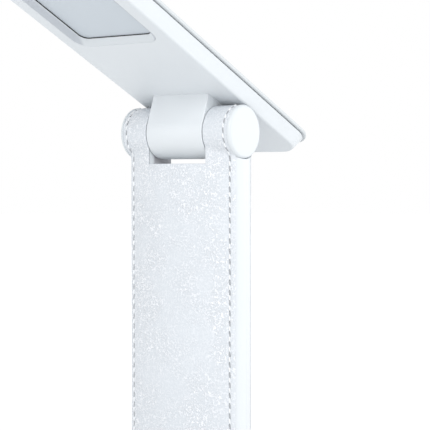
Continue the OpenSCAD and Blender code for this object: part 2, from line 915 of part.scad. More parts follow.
module board_screws() {
    color("silver") at_board_screws() translate([0, 0, parts_z])
        screw(board_screw_r, board_screw_l, board_head_r, board_head_h);
}

// Coil, capacitor and chips on the main board: each is [x, distance behind the front, size]
module board_parts() {
    rounds = [[-14, 8, [4, 3.4]], [-3, 9, [2.6, 4]]];
    blocks = [[6, 5, [7, 5, 1.4]], [15, 6, [5, 6, 1.4]], [-4, 18, [8, 4, 2.6]]];
    color("dimgray") {
        for (part = rounds) translate([part[0], board_front + part[1], parts_z])
            cylinder(r = part[2][0], h = part[2][1]);
        for (part = blocks) translate([part[0], board_front + part[1], parts_z]) cube(part[2]);
    }
}

module usb_socket() {
    y1 = back_wall_y - usb_set;
    tongue = [6.6, usb_l - 1.9, 0.7];
    color("silver") translate([0, y1, port_z]) rotate([90, 0, 0]) difference() {
        linear_extrude(usb_l) slot_outline(usb_w, usb_h);
        translate([0, 0, -1]) linear_extrude(usb_l)
            slot_outline(usb_w - 2 * usb_sheet, usb_h - 2 * usb_sheet);
    }
    color("black") translate([-tongue.x / 2, y1 - usb_l + 3 * usb_sheet, port_z - tongue.z / 2])
        cube(tongue);
}

module switch_body() {
    y0 = back_wall_y - base_wall - ease - switch_l;
    pocket = [slider_w + slider_travel + 2 * ease, switch_l, slider_h + ease];
    color("dimgray") difference() {
        translate([switch_x - switch_w / 2, y0, parts_z]) cube([switch_w, switch_l, switch_h]);
        translate([switch_x - pocket.x / 2, back_wall_y - base_wall - slider_in - ease,
            port_z - pocket.z / 2]) cube(pocket);
    }
}

// Slide knob with three grip grooves, drawn in its off place at the left end of its slot
module power_slider() {
    length = base_wall + slider_in + slider_out;
    groove = 0.4;
    color("whitesmoke")
        translate([switch_x - (slider_w + slider_travel) / 2, back_wall_y + slider_out - length,
            port_z - slider_h / 2])
            difference() {
                cube([slider_w, length, slider_h]);
                for (i = [-1 : 1]) translate([slider_w / 2 + (2.2 * i - 0.5) * groove,
                    length - groove, -1]) cube([groove, 1, slider_h + 2]);
            }
}

module status_lens() {
    color("lightcyan") translate([lens_x, back_wall_y - ease / 2, port_z]) rotate([90, 0, 0])
        cylinder(r = lens_r, h = base_wall + lens_in);
}

module touch_panel() {
    color("gainsboro") translate([0, 0, base_top - touch_t + slip]) linear_extrude(touch_t - slip)
        touch_outline(slip, touch_corner - slip);
}

module touch_board() {
    inset = touch_ledge + ease;
    color("seagreen") translate([0, 0, base_top - touch_t - touch_board_t])
        linear_extrude(touch_board_t) touch_outline(inset, touch_corner - inset);
}

// Flat cable from the touch board back to the main board
module touch_cable() {
    y0 = touch_y - touch_l / 4;
    y1 = board_front + 1;
    riser_top = base_top - touch_t - touch_board_t - slip;
    color("orange") {
        translate([cable_x, y0, cable_z]) cube([cable_w, y1 - y0, cable_t]);
        translate([cable_x, y0, cable_z]) cube([cable_w, cable_t, riser_top - cable_z]);
        translate([cable_x, y1 - cable_t, parts_z]) cube([cable_w, cable_t, cable_z - parts_z + eps]);
    }
}

// Wire from the main board up through the knuckle to the lower shaft
module base_wire() {
    color("black") in_pedestal() wire([[0, 0, 0], [0, 0, lower_z - board_z - board_t - slip]]);
}

module base_knuckle() {
    color("whitesmoke") in_pedestal() knuckle(pedestal, base_wall);
}

module base_mount_plate() {
    color("silver") in_pedestal() mount_plate(pedestal, base_wall);
}

module base_knuckle_screws() {
    color("dimgray") in_pedestal() knuckle_screws(pedestal, base_wall);
}

// --- the two hinges, which share their parts

module lower_shaft() { color("lightsteelblue") in_pedestal() shaft(); }
module lower_washers() { color("gray") at_lower_hinge() thrust_washers(); }
module lower_springs() { color("lightsteelblue") at_lower_hinge() disc_springs(); }
module lower_nuts() { color("silver") in_pedestal() shaft_nuts(); }
module lower_yoke() { color("silver") at_lower_hinge() mirror([0, 0, 1]) yoke(); }
module lower_end_caps() { color("white") at_lower_hinge() mirror([0, 0, 1]) end_caps(); }
module upper_shaft() { color("lightsteelblue") in_head() shaft(); }
module upper_washers() { color("gray") at_upper_hinge() thrust_washers(); }
module upper_springs() { color("lightsteelblue") at_upper_hinge() disc_springs(); }
module upper_nuts() { color("silver") in_head() shaft_nuts(); }
module upper_yoke() { color("silver") at_upper_hinge() yoke(); }
module upper_end_caps() { color("white") at_upper_hinge() end_caps(); }

base_tray();
base_shell();
foot_ring();
base_screws();
counterweight();
battery();
battery_tape();
main_board();
board_parts();
board_screws();
usb_socket();
switch_body();
power_slider();
status_lens();
touch_panel();
touch_board();
touch_cable();
base_wire();
base_knuckle();
base_mount_plate();
base_knuckle_screws();
lower_shaft();
lower_washers();
lower_springs();
lower_nuts();
lower_yoke();
lower_end_caps();
arm_front_casing();
arm_rear_casing();
arm_stiffener();
arm_screws();
arm_wire();
leather_strip();
upper_yoke();
upper_end_caps();
upper_shaft();
upper_washers();
upper_springs();
upper_nuts();
head_knuckle();
head_mount_plate();
head_knuckle_screws();
head_shell();
head_cover();
diffuser();
light_guide();
reflector();
led_strips();
leds();
back_plate();
back_plate_screws();
head_wire();
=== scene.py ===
# Folding LED desk lamp with a leather-wrapped arm, dressed over its CAD model.
# Metres, in the CAD model's own frame. The dictionaries are in millimetres.
import json
import math
import bpy
import numpy as np
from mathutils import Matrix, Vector


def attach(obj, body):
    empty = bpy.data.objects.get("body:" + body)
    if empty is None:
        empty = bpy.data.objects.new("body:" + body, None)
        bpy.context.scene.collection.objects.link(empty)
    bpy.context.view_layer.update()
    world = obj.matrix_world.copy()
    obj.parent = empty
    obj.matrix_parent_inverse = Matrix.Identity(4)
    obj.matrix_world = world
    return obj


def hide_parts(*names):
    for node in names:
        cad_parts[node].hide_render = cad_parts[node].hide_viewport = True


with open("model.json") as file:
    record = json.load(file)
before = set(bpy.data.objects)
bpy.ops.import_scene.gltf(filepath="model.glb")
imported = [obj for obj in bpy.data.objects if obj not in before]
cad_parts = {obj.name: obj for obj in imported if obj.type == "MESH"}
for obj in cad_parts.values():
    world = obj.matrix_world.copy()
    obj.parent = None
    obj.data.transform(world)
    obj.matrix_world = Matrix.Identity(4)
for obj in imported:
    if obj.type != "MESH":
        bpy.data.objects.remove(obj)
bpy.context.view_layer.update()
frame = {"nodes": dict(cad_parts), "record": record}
nodes = frame["nodes"]
mm, perMetre = 0.001, 1000.0
print("model loaded:", len(nodes), "nodes")


# Places that the pieces share.

hinges = {
    "backSet": 78.0,      # both hinge axes lie at this Y
    "lowerHeight": 42.24,
    "upperHeight": 237.24,
    "headTilt": 25.0,     # degrees, front end up
    "knuckleHalf": 17.2,
}
armLength = hinges["upperHeight"] - hinges["lowerHeight"]


def placeAtLowerHinge(points):
    # moves points from the lower hinge's axis to the lamp
    return points + np.array([0.0, hinges["backSet"], hinges["lowerHeight"]])


def placeAtUpperHinge(points):
    # moves points from the upper hinge's axis to the lamp
    return points + np.array([0.0, hinges["backSet"], hinges["upperHeight"]])


def placeInHead(points):
    # turns points about the upper axis by the head's tilt, then moves them there
    turn = math.radians(-hinges["headTilt"])
    x, y, z = points[..., 0], points[..., 1], points[..., 2]
    turned = np.stack([x, y * math.cos(turn) - z * math.sin(turn),
                       y * math.sin(turn) + z * math.cos(turn)], axis=-1)
    return placeAtUpperHinge(turned)


def placeInPedestal(points):
    # the base's knuckle is drawn upside down: +Z points to the base
    return placeAtLowerHinge(points * np.array([1.0, -1.0, -1.0]))


# Making surfaces.

sharpEdge = 35.0        # degrees; edges sharper than this keep their crease


def addObject(name, data):
    # a new object in the scene, at the origin
    made = bpy.data.objects.new(name, data)
    bpy.context.scene.collection.objects.link(made)
    return made


def addPiece(name, vertices, faces, body, slotName, replaced=(), sharpAngle=sharpEdge):
    # one smooth object in its slot's finish, riding on its body; edges sharper than the angle stay
    mesh = bpy.data.meshes.new(name)
    mesh.from_pydata((np.asarray(vertices) * mm).tolist(), [], faces)
    mesh.validate()
    mesh.polygons.foreach_set("use_smooth", np.full(len(mesh.polygons), True))
    mesh.set_sharp_from_angle(angle=math.radians(sharpAngle))
    piece = addObject(name, mesh)
    if body:
        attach(piece, body)
        dress(piece, slotName)
    if replaced:
        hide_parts(*replaced)
    return piece


def signedVolume(vertices, faces):
    # sum of the little pyramids between each face and the origin, as fans of triangles
    total = 0.0
    for size in {len(face) for face in faces}:
        corners = np.asarray([face for face in faces if len(face) == size])
        for k in range(1, size - 1):
            a, b, c = vertices[corners[:, 0]], vertices[corners[:, k]], vertices[corners[:, k + 1]]
            total += np.einsum("ij,ij->i", a, np.cross(b, c)).sum()
    return total


def facesOutward(vertices, faces):
    # turns every face round if the closed surface encloses a negative volume
    if signedVolume(vertices, faces) < 0:
        return [tuple(face[::-1]) for face in faces]
    return faces


def ringFaces(count, around, looped=False):
    # quads between each ring of points and the next; the last ring runs on into the first
    # if looped, and otherwise a flat cap closes each end
    row, column = np.meshgrid(np.arange(count if looped else count - 1), np.arange(around),
                              indexing="ij")
    nextRow, nextColumn = (row + 1) % count, (column + 1) % around
    quads = np.stack([row * around + column, row * around + nextColumn,
                      nextRow * around + nextColumn, nextRow * around + column], axis=-1)
    faces = [tuple(quad) for quad in quads.reshape(-1, 4).tolist()]
    if not looped:
        faces.append(tuple(range(around))[::-1])
        faces.append(tuple(range((count - 1) * around, count * around)))
    return faces


def addRings(name, rings, body, slotName, replaced=(), looped=False):
    # closed surface through rings of points, an array of ring, point and coordinate
    vertices = rings.reshape(-1, 3)
    faces = facesOutward(vertices, ringFaces(*rings.shape[:2], looped))
    return addPiece(name, vertices, faces, body, slotName, replaced)


def cornerArc(before, corner, after, radius, steps):
    # arc of that radius which touches both sides of a corner of a profile: its centre lies
    # on the bisector, radius / sin(half the angle) away, and it touches radius / tan(half) away
    one, two = before - corner, after - corner
    one, two = one / np.linalg.norm(one), two / np.linalg.norm(two)
    half = 0.5 * math.acos(float(np.clip(one @ two, -1, 1)))
    middle = one + two
    centre = corner + middle / np.linalg.norm(middle) * radius / math.sin(half)
    start = corner + one * radius / math.tan(half) - centre
    end = corner + two * radius / math.tan(half) - centre
    turn = math.acos(float(np.clip(start @ end / radius ** 2, -1, 1)))
    t = np.linspace(0, 1, steps)[:, None]
    return centre + (np.sin((1 - t) * turn) * start + np.sin(t * turn) * end) / math.sin(turn)


def roundedProfile(corners, steps):
    # profile through corners given as (across, height), or (across, height, radius) for an arc
    corners = [np.asarray(corner, float) for corner in corners]
    parts = []
    for i, corner in enumerate(corners):
        if len(corner) == 2:
            parts.append(corner[None])
        else:
            parts.append(cornerArc(corners[i - 1][:2], corner[:2], corners[i + 1][:2],
                                   corner[2], steps))
    return np.concatenate(parts)


def boxOutline(outline, profile, steps, corner=None):
    # carries a profile of (outset, height) round a rounded rectangle: each corner's centre
    # plus (corner radius + outset) * (cos, sin). The rings may have a corner radius each
    corner = np.broadcast_to(outline["corner"] if corner is None else corner, len(profile))
    corner = corner[:, None]
    quarter = np.linspace(0, math.pi / 2, steps)
    angle = np.concatenate([quarter + k * math.pi / 2 for k in range(4)])
    signX = np.repeat([1, -1, -1, 1], steps)
    signY = np.repeat([1, 1, -1, -1], steps)
    radius = corner + profile[:, :1]
    middle = (outline["front"] + outline["back"]) / 2
    reach = (outline["back"] - outline["front"]) / 2
    x = signX * (outline["halfWidth"] - corner) + radius * np.cos(angle)
    y = middle + signY * (reach - corner) + radius * np.sin(angle)
    return np.stack([x, y, np.broadcast_to(profile[:, 1:], x.shape)], axis=-1)


def bothSides(vertices, faces):
    # a shape and its mirror image across the middle, whose faces turn the other way
    mirrored = [tuple(index + len(vertices) for index in face[::-1]) for face in faces]
    return np.concatenate([vertices, vertices * np.array([-1.0, 1.0, 1.0])]), faces + mirrored


def latheRings(profile, around):
    # turns a profile of (distance along X, radius) round the X axis
    angle = np.linspace(0, 2 * math.pi, around, endpoint=False)
    x = np.repeat(profile[:, :1], around, axis=1)
    return np.stack([x, profile[:, 1:] * np.cos(angle), profile[:, 1:] * np.sin(angle)], axis=-1)


def cutOut(piece, cutters):
    # takes the cutters' shapes out of a piece, keeps the result as its mesh
    for cutter in cutters:
        cut = piece.modifiers.new("opening", "BOOLEAN")
        cut.operation, cut.solver, cut.object = "DIFFERENCE", "EXACT", cutter
    evaluated = piece.evaluated_get(bpy.context.evaluated_depsgraph_get())
    result = bpy.data.meshes.new_from_object(evaluated)
    piece.modifiers.clear()
    piece.data = result
    result.set_sharp_from_angle(angle=math.radians(sharpEdge))
    for cutter in cutters:
        bpy.data.objects.remove(cutter)


def steadyShading(piece):
    # large faces keep their own direction, so the light stays even across them
    piece.modifiers.new("steady shading", "WEIGHTED_NORMAL").keep_sharp = True
    return piece


# The leather's loop round the arm. Its stitches and its finish both read this.

leatherSizes = {
    "halfWidth": 32.3, "barrelRadius": 13.0, "back": 8.0,
    "arcRadius": 89.94, "arcCentre": 77.54,   # the rounded front's circle
    "blendRadius": 3.6,     # hollow where the barrel runs into the arm
    "notchHalf": 17.6, "notchDepth": 15.3,
    "edgeRadius": 0.7, "edgeFlare": 0.4, "thickness": 0.28,
    "grooveDepth": 0.22, "grooveWidth": 0.75,
    "waviness": 0.03,
    "seamHeight": 36.0, "seamDepth": 0.35, "seamWidth": 0.5,  # where the ends meet, behind
}
loopRows = {"wall": 64, "blend": 9, "barrel": 22}             # in each quarter of the loop
nearEdge = np.array([0.0, 0.04, 0.12, 0.25, 0.4, 0.6, 0.85])  # rows that round off an edge
stitchSizes = {
    "inset": 2.3, "pitch": 5.0, "length": 2.7, "radius": 0.44,
    "slant": -0.12, "rise": 0.16, "dive": 0.5,
}


def leatherFront(x):
    # how far the arm's rounded front lies ahead of the hinge axes at this X
    return np.sqrt(leatherSizes["arcRadius"] ** 2 - x ** 2) - leatherSizes["arcCentre"]


def quarterLoop(x, depth):
    # a quarter of the loop at each X: up a wall at that depth, through a hollow blend,
    # and round the barrel to its top. Gives out and up, both parts of the normal, and how
    # far each row lies from the notch. Two circles that touch give the blend's centre:
    # drop = root of (barrel + blend) squared - (depth + blend) squared
    s = leatherSizes
    barrel, blend, notch = s["barrelRadius"], s["blendRadius"], s["notchDepth"]
    drop = np.sqrt((barrel + blend) ** 2 - (depth + blend) ** 2)
    touch = np.arctan2(drop, depth + blend)      # where the blend meets the barrel
    far = np.linspace(armLength / 2 - notch, nearEdge[-1], loopRows["wall"])
    away = np.concatenate([far, nearEdge[-2::-1]])
    lower = -notch - away[:, None] + 0 * x
    upper = -notch + (notch - drop) * np.linspace(0, 1, 4)[1:, None]
    wallUp = np.concatenate([lower, upper])
    wallOut = depth + 0 * wallUp
    turn = math.pi - np.linspace(0, 1, loopRows["blend"])[1:, None] * touch
    blendOut, blendUp = depth + blend + blend * np.cos(turn), -drop + blend * np.sin(turn)
    swing = -touch + np.linspace(0, 1, loopRows["barrel"])[1:, None] * (touch + math.pi / 2)
    out = np.concatenate([wallOut, blendOut, barrel * np.cos(swing)])
    up = np.concatenate([wallUp, blendUp, barrel * np.sin(swing)])
    normalOut = np.concatenate([1 + 0 * wallOut, -np.cos(turn), np.cos(swing)])
    normalUp = np.concatenate([0 * wallUp, -np.sin(turn), np.sin(swing)])
    away = np.concatenate([away, np.zeros(len(out) - len(away))])[:, None] + 0 * x
    return out, up, normalOut, normalUp, away


def leatherLoop(x):
    # the closed loop at each X, rows along it and a column for each X: down the back from
    # its middle, round below, up the front, over the top and down the back again
    out, up, normalOut, normalUp, away = quarterLoop(x, leatherFront(x))
    lowFront = (-out, -up, -normalOut, -normalUp, away)
    highFront = (-out, up + armLength, -normalOut, normalUp, away)
    out, up, normalOut, normalUp, away = quarterLoop(x, leatherSizes["back"] + 0 * x)
    lowBack = (out, -up, normalOut, -normalUp, away)
    highBack = (out, up + armLength, normalOut, normalUp, away)
    return [np.concatenate([a, b[::-1][1:], c[1:], d[::-1][1:-1]])
            for a, b, c, d in zip(lowBack, lowFront, highFront, highBack)]


def leatherColumns():
    # X values: close together at the edges, at the notch and under the stitches
    notch, edge = leatherSizes["notchHalf"], leatherSizes["halfWidth"]
    half = np.concatenate([
        np.linspace(0, notch - 0.9, 9), notch - nearEdge[1:-1], notch + nearEdge,
        np.linspace(notch + 1.8, stitchRow - 1.6, 9),
        stitchRow + np.linspace(-1.25, 1.25, 9), edge - nearEdge])
    half = np.unique(np.round(half, 4))
    return np.concatenate([-half[::-1][:-1], half])


# The loop under a row of stitches, closed: Y, Z and both parts of its normal, and the
# distance along it to each row.
stitchRow = leatherSizes["halfWidth"] - stitchSizes["inset"]
stitchPath = [np.append(part[:, 0], part[0, 0])
              for part in leatherLoop(np.array([stitchRow]))[:4]]
stitchDistance = np.append(0.0, np.cumsum(np.hypot(*np.diff(stitchPath[:2]))))
stitchCount = int(round(stitchDistance[-1] / stitchSizes["pitch"]))
stitchStep = stitchDistance[-1] / stitchCount


# Finishes.

class Signal:
    # a node's output; sums and products of signals add the Math nodes they need
    def __init__(self, finish, socket):
        self.finish, self.socket = finish, socket

    def maths(self, operation, first, second):
        return self.finish.node("ShaderNodeMath", {"operation": operation}, {0: first, 1: second})

    def __add__(self, other): return self.maths("ADD", self, other)
    def __radd__(self, other): return self.maths("ADD", other, self)
    def __sub__(self, other): return self.maths("SUBTRACT", self, other)
    def __rsub__(self, other): return self.maths("SUBTRACT", other, self)
    def __mul__(self, other): return self.maths("MULTIPLY", self, other)
    def __truediv__(self, other): return self.maths("DIVIDE", self, other)
    def __pow__(self, other): return self.maths("POWER", self, other)
    def __gt__(self, other): return self.maths("GREATER_THAN", self, other)
    def __abs__(self): return self.maths("ABSOLUTE", self, 0.0)


class Finish:
    # builds one material; every node comes from node()
    def __init__(self, name):
        self.material = bpy.data.materials.new(name)
        self.material.use_nodes = True
        self.tree = self.material.node_tree
        self.tree.nodes.clear()

    def node(self, kind, settings=None, sockets=None, output=0):
        # signals are linked to their sockets, and plain values set on them
        made = self.tree.nodes.new(kind)
        for key, value in (settings or {}).items():
            setattr(made, key, value)
        for key, value in (sockets or {}).items():
            if isinstance(value, Signal):
                self.tree.links.new(value.socket, made.inputs[key])
            elif isinstance(value, tuple) and len(value) == 3 and made.inputs[key].type == "RGBA":
                made.inputs[key].default_value = (*value, 1)
            else:
                made.inputs[key].default_value = value
        return Signal(self, made.outputs[output]) if len(made.outputs) else None

    def place(self, stretch=(1, 1, 1)):
        # the object's own coordinates, stretched where a grain has a direction
        coordinates = self.node("ShaderNodeTexCoord", output="Object")
        if stretch == (1, 1, 1):
            return coordinates
        return self.node("ShaderNodeMapping", None, {"Vector": coordinates, "Scale": stretch})

    def noise(self, size, detail=3.0, roughness=0.5, stretch=(1, 1, 1), at=None):
        # cloudy pattern whose patches are about this many millimetres wide
        return self.node("ShaderNodeTexNoise", None, {
            "Vector": at or self.place(stretch), "Scale": perMetre / size,
            "Detail": detail, "Roughness": roughness})

    def cells(self, size, feature="F1", at=None):
        # distance within cells about this many millimetres wide
        return self.node("ShaderNodeTexVoronoi", {"feature": feature}, {
            "Vector": at or self.place(), "Scale": perMetre / size}, output="Distance")

    def waves(self, size, direction="X", distortion=0.0):
        # bands this many millimetres apart: the node's own band at scale 1 is 1 / 3.18 wide
        bands = {"wave_type": "BANDS", "bands_direction": direction}
        return self.node("ShaderNodeTexWave", bands, {
            "Vector": self.place(), "Scale": perMetre / size / 3.18,
            "Distortion": distortion}, output="Fac")

    def along(self, axis, spot=None):
        # the place's distance along one axis, in millimetres
        return self.node("ShaderNodeSeparateXYZ", None, {0: spot or self.place()},
                         output=axis) * perMetre

    def between(self, value, low, high, newLow=0.0, newHigh=1.0):
        # value moved from one range to another, and held inside it
        return self.node("ShaderNodeMapRange", {"clamp": True}, {
            "Value": value, "From Min": low, "From Max": high,
            "To Min": newLow, "To Max": newHigh})

    def blend(self, amount, first, second):
        # first shade at amount 0, second at 1
        return self.node("ShaderNodeMix", {"data_type": "RGBA"}, {0: amount, 6: first, 7: second},
                         output=2)

    def relief(self, height, depth, strength):
        # bump whose height signal of 0 to 1 stands for this many millimetres
        return self.node("ShaderNodeBump", None, {
            "Height": height, "Distance": depth * mm, "Strength": strength})

    def coat(self, **sockets):
        # the surface itself: varied inputs are signals, even ones are plain numbers
        named = {key.replace("_", " "): value for key, value in sockets.items()}
        surface = self.node("ShaderNodeBsdfPrincipled", None, named)
        self.node("ShaderNodeOutputMaterial", None, {"Surface": surface})
        return self.material


def darker(shade, share):
    # that share of each colour of a shade
    return tuple(value * share for value in shade)


mouldGrain = {"clouds": 42, "fine": 0.35, "polish": 9, "depth": 0.012}   # millimetres


def mouldPatterns(finish):
    # what every satin moulding has: wide clouds in its tone, and a fine even grain
    return finish.noise(mouldGrain["clouds"], 3), finish.noise(mouldGrain["fine"], 2)


def mouldCoat(finish, tone, roughness, fine):
    # that tone and gloss over the relief of the fine grain
    return finish.coat(Base_Color=tone, Roughness=roughness,
                       Normal=finish.relief(fine, mouldGrain["depth"], 0.5))


def mouldedPlastic(name, shade, roughness):
    # satin moulding: faint clouds in tone, gloss that drifts slightly
    finish = Finish(name)
    clouds, fine = mouldPatterns(finish)
    polish = finish.noise(mouldGrain["polish"], 4)
    tone = finish.blend(finish.between(clouds, 0.35, 0.7), shade, darker(shade, 0.975))
    return mouldCoat(finish, tone, roughness + (polish - 0.5) * 0.1 + (fine - 0.5) * 0.06, fine)


holeSizes = {"length": 3.1, "width": 0.78, "lean": -0.12}
layoutScale = 0.01      # the layout's units per millimetre


def stitchHoles(finish):
    # 1 inside the holes between stitches, 0 elsewhere: ellipses that repeat along the
    # leather's layout, whose first coordinate runs along the loop and second across it
    h = holeSizes
    layout = finish.node("ShaderNodeUVMap", {"uv_map": "leatherLayout"})
    perStitch = finish.along("X", layout) / (perMetre * layoutScale * stitchStep)
    fromRow = abs(finish.along("Y", layout)) / (perMetre * layoutScale) - stitchRow
    within = finish.node("ShaderNodeMath", {"operation": "FRACT"}, {0: perStitch + 0.5}) - 0.5
    lengthwise = within * stitchStep / (h["length"] / 2)
    sideways = (fromRow - within * stitchStep * h["lean"]) / (h["width"] / 2)
    return finish.between(lengthwise ** 2.0 + sideways ** 2.0, 0.45, 1.15, 1.0, 0.0)


# the darker notch walls are painted shadow, the lighter notch floors painted light
notchShadowAndLight = {      # where each tone fades in or out: by distance from the middle, and by Y
    "wallIn": (17.32, 17.49), "wallOut": (17.83, 17.72), "floor": (17.38, 17.2),
    "behind": (71.2, 72.4),
}


def casingPlastic(name, shade, inside):
    # satin moulding; by distance from the middle, the walls of the notches are painted darker
    # behind the turned-in leather, a painted shadow, and their floors painted lighter, painted
    # light that stands in for light reaching into the notch
    finish = Finish(name)
    clouds, fine = mouldPatterns(finish)
    n, aside = notchShadowAndLight, abs(finish.along("X"))
    paintedShadowOnWall = finish.between(aside, *n["wallIn"]) * finish.between(aside, *n["wallOut"])
    inNotch = paintedShadowOnWall * finish.between(finish.along("Y"), *n["behind"])
    paintedLightOnFloor = finish.between(aside, *n["floor"])
    tone = finish.blend(clouds, shade, darker(shade, 0.97))
    # the floors' paler tone is painted light
    tone = finish.blend(paintedLightOnFloor * 0.8, tone, (0.9, 0.91, 0.92))
    # inNotch carries the painted shadow on the notch walls
    return mouldCoat(finish, finish.blend(inNotch, tone, inside),
                     0.44 + (fine - 0.5) * 0.08 + inNotch * 0.1, fine)


coverTones = {"rimBelow": 22.5, "topAbove": 22.9}


def coverPlastic(name, shade, rimPaintedShade):
    # satin moulding whose rim is painted a greyer tone, painted shade for the shade on its sides,
    # below the top's height over the hinge axis, measured square to the tilted head: Y sin(tilt) +
    # Z cos(tilt)
    finish = Finish(name)
    clouds, fine = mouldPatterns(finish)
    polish = finish.noise(mouldGrain["polish"], 4)
    tilt = math.radians(hinges["headTilt"])
    height = ((finish.along("Y") - hinges["backSet"]) * math.sin(tilt) +
              (finish.along("Z") - hinges["upperHeight"]) * math.cos(tilt))
    onTop = finish.between(height, coverTones["rimBelow"], coverTones["topAbove"])
    # the rim's greyer tone is painted shade
    tone = finish.blend(clouds * 0.15, finish.blend(onTop, rimPaintedShade, shade), (0.6, 0.63, 0.65))
    return mouldCoat(finish, tone, 0.36 + (polish - 0.5) * 0.1 + (fine - 0.5) * 0.06, fine)


frameTones = {"endsWithin": 21.1, "sidesFrom": 22.36}


def framePlastic(name, shade, sidePaintedShade):
    # satin moulding of the window's frame, whose long sides are painted a greyer tone: painted
    # shade for the shade that falls on them
    finish = Finish(name)
    clouds, fine = mouldPatterns(finish)
    paintedShadeOnSide = finish.between(abs(finish.along("X")), frameTones["endsWithin"],
                            frameTones["sidesFrom"])
    # the long sides' greyer tone is painted shade
    tone = finish.blend(clouds * 0.3, finish.blend(paintedShadeOnSide, shade, sidePaintedShade), (0.52, 0.55, 0.59))
    return mouldCoat(finish, tone, 0.4 + (fine - 0.5) * 0.08, fine)


leatherGrain = {        # millimetres, and how far from its middle value a line reaches
    "pebbles": 1.3, "patches": 15, "winding": 1.9, "crossing": 1.5, "drift": 2.2, "tone": 28,
    "crease": 0.0036, "ridge": 0.003, "relief": 0.27,
    "swayScale": 420.0, "swayReach": 0.0009,    # what bends the pebbles, in metres
}


def pebbledLeather(name, shade):
    # grain of small pebbles, and patches with winding creases and ridges: each a line along which
    # a noise passes its middle value, found as its distance from there, squared. Its tone holds
    # painted shade in the creases, between the pebbles and in the stitch holes, and painted
    # highlights on the ridges
    finish = Finish(name)
    g, spot = leatherGrain, finish.place()
    drift = finish.noise(g["drift"], 3, at=spot)
    sway = finish.node("ShaderNodeTexNoise", None, {"Vector": spot, "Scale": g["swayScale"]},
                       output="Color")
    bent = finish.node("ShaderNodeVectorMath", {"operation": "MULTIPLY_ADD"},
                       {0: sway, 1: (g["swayReach"],) * 3, 2: spot})
    pebbles = finish.between(finish.cells(g["pebbles"], "DISTANCE_TO_EDGE", bent), 0.0, 0.16)
    patches = finish.between(finish.noise(g["patches"], 3, at=spot), 0.36, 0.6, 0.25, 1.0)
    winding = finish.noise(g["winding"], 2.0, at=bent) - 0.5
    crossing = finish.noise(g["crossing"], 1.5, at=spot) - 0.47
    crease = finish.between(winding * winding, 0.0, g["crease"], 1.0, 0.0) * patches
    ridge = finish.between(crossing * crossing, 0.0, g["ridge"], 1.0, 0.0) * patches
    holes = stitchHoles(finish)
    height = pebbles * 0.12 + ridge * 0.45 - crease * 0.25 - holes * 2.0
    clouds = finish.between(finish.noise(g["tone"], 3, at=spot), 0.35, 0.7)
    tone = finish.blend(clouds, shade, darker(shade, 0.97))
    # painted shade: darker in the creases and between the pebbles
    tone = finish.blend(crease * 0.1, tone, (0.48, 0.51, 0.55))
    tone = finish.blend((1 - pebbles) * 0.05, tone, (0.54, 0.57, 0.60))
    # painted highlight: the ridges paler
    tone = finish.blend(ridge * 0.8, tone, (0.90, 0.91, 0.94))
    # painted shadow: the stitch holes dark
    tone = finish.blend(holes * 0.55, tone, (0.20, 0.205, 0.22))
    return finish.coat(
        Base_Color=tone,
        Roughness=0.44 + crease * 0.2 + (drift - 0.5) * 0.16,
        Normal=finish.relief(height, g["relief"], 1.0))


def patterned(name, tones, low, high, roughness, swing, depth, strength, grain=None):
    # one pattern of 0 to 1 sets the tone, from the low shade to the high one; the grain, or
    # else the same pattern, sets gloss and relief: roughness + swing * grain, a bump that deep
    finish = Finish(name)
    tone = tones(finish)
    fine = grain(finish) if grain else tone
    return finish.coat(
        Base_Color=finish.blend(tone, low, high), Roughness=roughness + fine * swing,
        Normal=finish.relief(fine, depth, strength))


def brushedMetal(name, shade, roughness, stretch):
    # long fine scratches along one direction, with stains of slightly duller metal
    finish = Finish(name)
    lines = finish.noise(0.8, 4, 0.6, stretch)
    stains = finish.noise(11, 3)
    return finish.coat(
        Base_Color=finish.blend(finish.between(stains, 0.4, 0.7), shade, darker(shade, 0.86)),
        Metallic=0.96 + (stains - 0.5) * 0.06,
        Roughness=roughness + (lines - 0.5) * 0.16, Normal=finish.relief(lines, 0.01, 0.5))


def castMetal(name, shade):
    # gritty skin with shallow round pits
    finish = Finish(name)
    grit = finish.noise(0.7, 5, 0.65)
    pits = finish.between(finish.cells(2.4), 0.0, 0.25)
    return finish.coat(
        Base_Color=finish.blend(grit, shade, darker(shade, 0.8)),
        Metallic=0.9 + grit * 0.08, Roughness=0.45 + (1 - pits) * 0.2,
        Normal=finish.relief(grit * 0.7 + pits * 0.3, 0.06, 0.6))


def circuitBoard(name, mask, track):
    # solder mask over tracks: square cells whose edges stand for copper under the mask
    finish = Finish(name)
    tracks = finish.between(finish.node(
        "ShaderNodeTexVoronoi", {"feature": "F1", "distance": "CHEBYCHEV"},
        {"Vector": finish.place(), "Scale": 330.0}), 0.42, 0.5)
    pads = finish.between(finish.cells(3.4), 0.1, 0.13, 1.0, 0.0)
    base = finish.blend(tracks, mask, track)
    return finish.coat(
        Base_Color=finish.blend(pads, base, (0.75, 0.74, 0.70)), Metallic=pads * 0.9,
        Roughness=0.34 + tracks * 0.1, Normal=finish.relief(tracks * 0.6 + pads * 0.4, 0.04, 0.6))


def darkMoulding(name):
    # near-black plastic: soft patches in tone, fine grain in gloss and relief
    return patterned(name, lambda f: f.noise(6, 3), (0.018, 0.018, 0.02),
                     (0.04, 0.04, 0.043), 0.4, 0.2, 0.02, 0.5, lambda f: f.noise(0.4, 3))


def crinkledFoil(name):
    # folds along the edges of wide cells, over a soft unevenness
    finish = Finish(name)
    folds = finish.cells(7, "DISTANCE_TO_EDGE")
    soft = finish.noise(4, 4)
    return finish.coat(
        Base_Color=finish.blend(soft, (0.50, 0.52, 0.55), (0.62, 0.64, 0.66)),
        Metallic=0.85 + soft * 0.1, Roughness=0.3 + soft * 0.2,
        Normal=finish.relief(finish.between(folds, 0.0, 0.12) * 0.5 + soft * 0.5, 0.15, 0.6))


touchMarkSizes = {
    "centre": -83.0, "ring": 2.5, "line": 0.26, "gap": 0.8, "bar": (0.9, 3.4),
    "apart": 13.0, "dimDot": 0.7, "brightDot": 1.5, "soft": 0.06,
}


